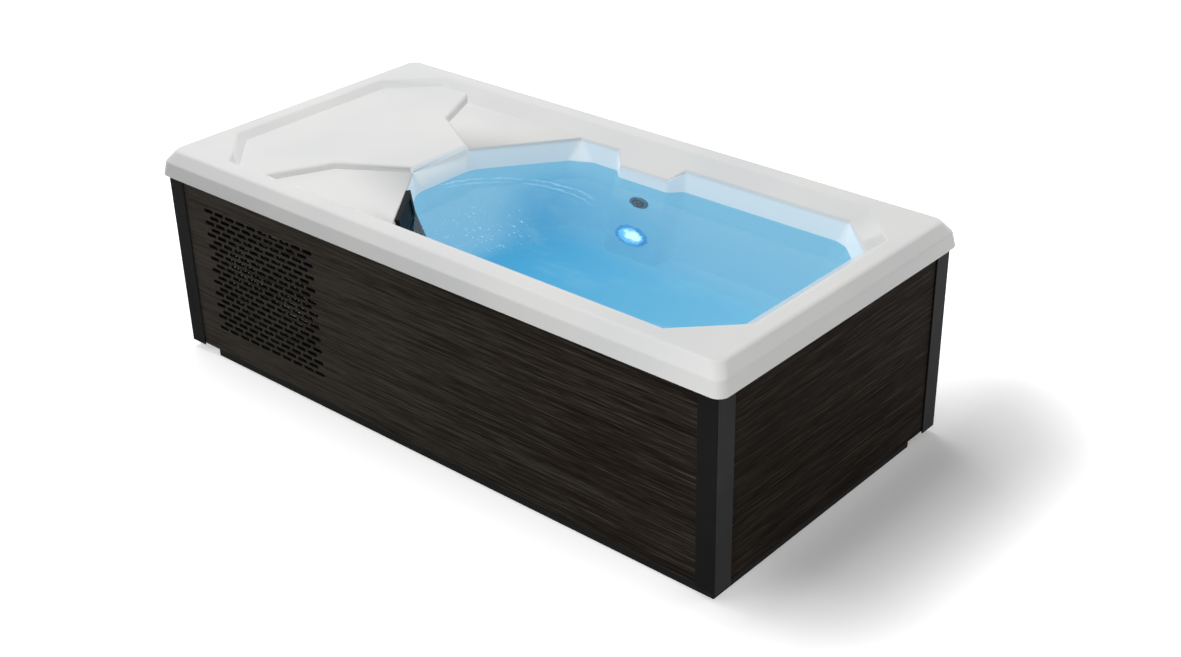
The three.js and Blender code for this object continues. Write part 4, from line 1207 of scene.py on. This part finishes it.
lamps = {
    "topLight": {
        "place": (-2.2, 0.3, 7.5), "aim": (0, 0, 0.6), "size": (5.0, 4.2), "power": 330,
    },
    "keyLight": {
        "place": (-1.6, -4.7, 5.2), "aim": (0, 0, 0.5), "size": (2.8, 2.8), "power": 62,
    },
    "frontLight": {
        "place": (1.6, -1.9, 0.5), "aim": (0.9, -0.5, 0.6), "size": (0.8, 0.8), "power": 13,
    },
    "footLight": {
        "place": (3.6, 2.6, 0.8), "aim": (1.0, 0.2, 0.5), "size": (1.6, 1.6), "power": 38,
    },
}


def seenDirectly(f):  # 1 for rays from the camera, in reflections and through water
    camera, glossy, through = (
        f.node("ShaderNodeLightPath", output=f"Is {kind} Ray")
        for kind in ("Camera", "Glossy", "Transmission")
    )
    return camera.combine("MAXIMUM", camera.combine("MAXIMUM", camera, glossy), through)


def floorFinish(look):
    f = Finish("paleFloor")
    seen = seenDirectly(f)
    near, shaded, far = look["floorGlow"]
    x, y = f.axis("X"), f.axis("Y")
    asideX = x.combine("MAXIMUM", abs(x) - cadBox[1].x, 0.0)
    asideY = y.combine("MAXIMUM", abs(y) - cadBox[1].y, 0.0)
    away = (asideX * asideX + asideY * asideY) ** 0.5
    # painted shadow: the glow is dimmer near the tub and dimmest behind the foot end
    shadow = f.span(x, *look["shadowAlong"]) * f.span(y, *look["shadowAcross"])
    close = near + shadow * (shaded - near)
    glow = close + f.span(away, *look["glowFade"]) * (far - close)
    return f.surface({
        "Base Color": f.mix(seen, look["floorBounce"], look["floorColour"]),
        "Roughness": 0.9,
        "Specular IOR Level": 0.1,
        "Emission Color": seen * glow,
        "Emission Strength": 1.0,
    })


def addFloor(look):
    mesh = bpy.data.meshes.new("floor")
    half = look["floor"]
    corners = [(-half, -half, 0), (half, -half, 0), (half, half, 0), (-half, half, 0)]
    mesh.from_pydata(corners, [], [(0, 1, 2, 3)])
    mesh.materials.append(floorFinish(look))
    floor = bpy.data.objects.new("floor", mesh)
    scene.collection.objects.link(floor)


def addWorld(look):
    world = bpy.data.worlds.new("studio")
    scene.world = world
    world.use_nodes = True
    f = Finish("studio", world.node_tree)
    white = (1, 1, 1, 1)
    light = f.node("ShaderNodeBackground", {}, {"Color": white, "Strength": look["worldLight"]})
    backdrop = f.node("ShaderNodeBackground", {}, {"Color": white, "Strength": 1.0})
    both = f.node("ShaderNodeMixShader", {}, {0: seenDirectly(f), 1: light, 2: backdrop})
    f.node("ShaderNodeOutputWorld", {}, {"Surface": both})


def addLamp(name, look):
    data = bpy.data.lights.new(name, "AREA")
    data.shape = "RECTANGLE"
    data.size, data.size_y = look["size"]
    data.energy = look["power"]
    lamp = bpy.data.objects.new(name, data)
    scene.collection.objects.link(lamp)
    turn = (Vector(look["aim"]) - Vector(look["place"])).to_track_quat("-Z", "Y")
    lamp.matrix_world = Matrix.LocRotScale(Vector(look["place"]), turn, None)
    lamp.visible_camera = False
    lamp.visible_glossy = False
    lamp.visible_transmission = False


addFloor(stageLook)
addWorld(stageLook)
for name, look in lamps.items():
    addLamp(name, look)
print("stage lit")
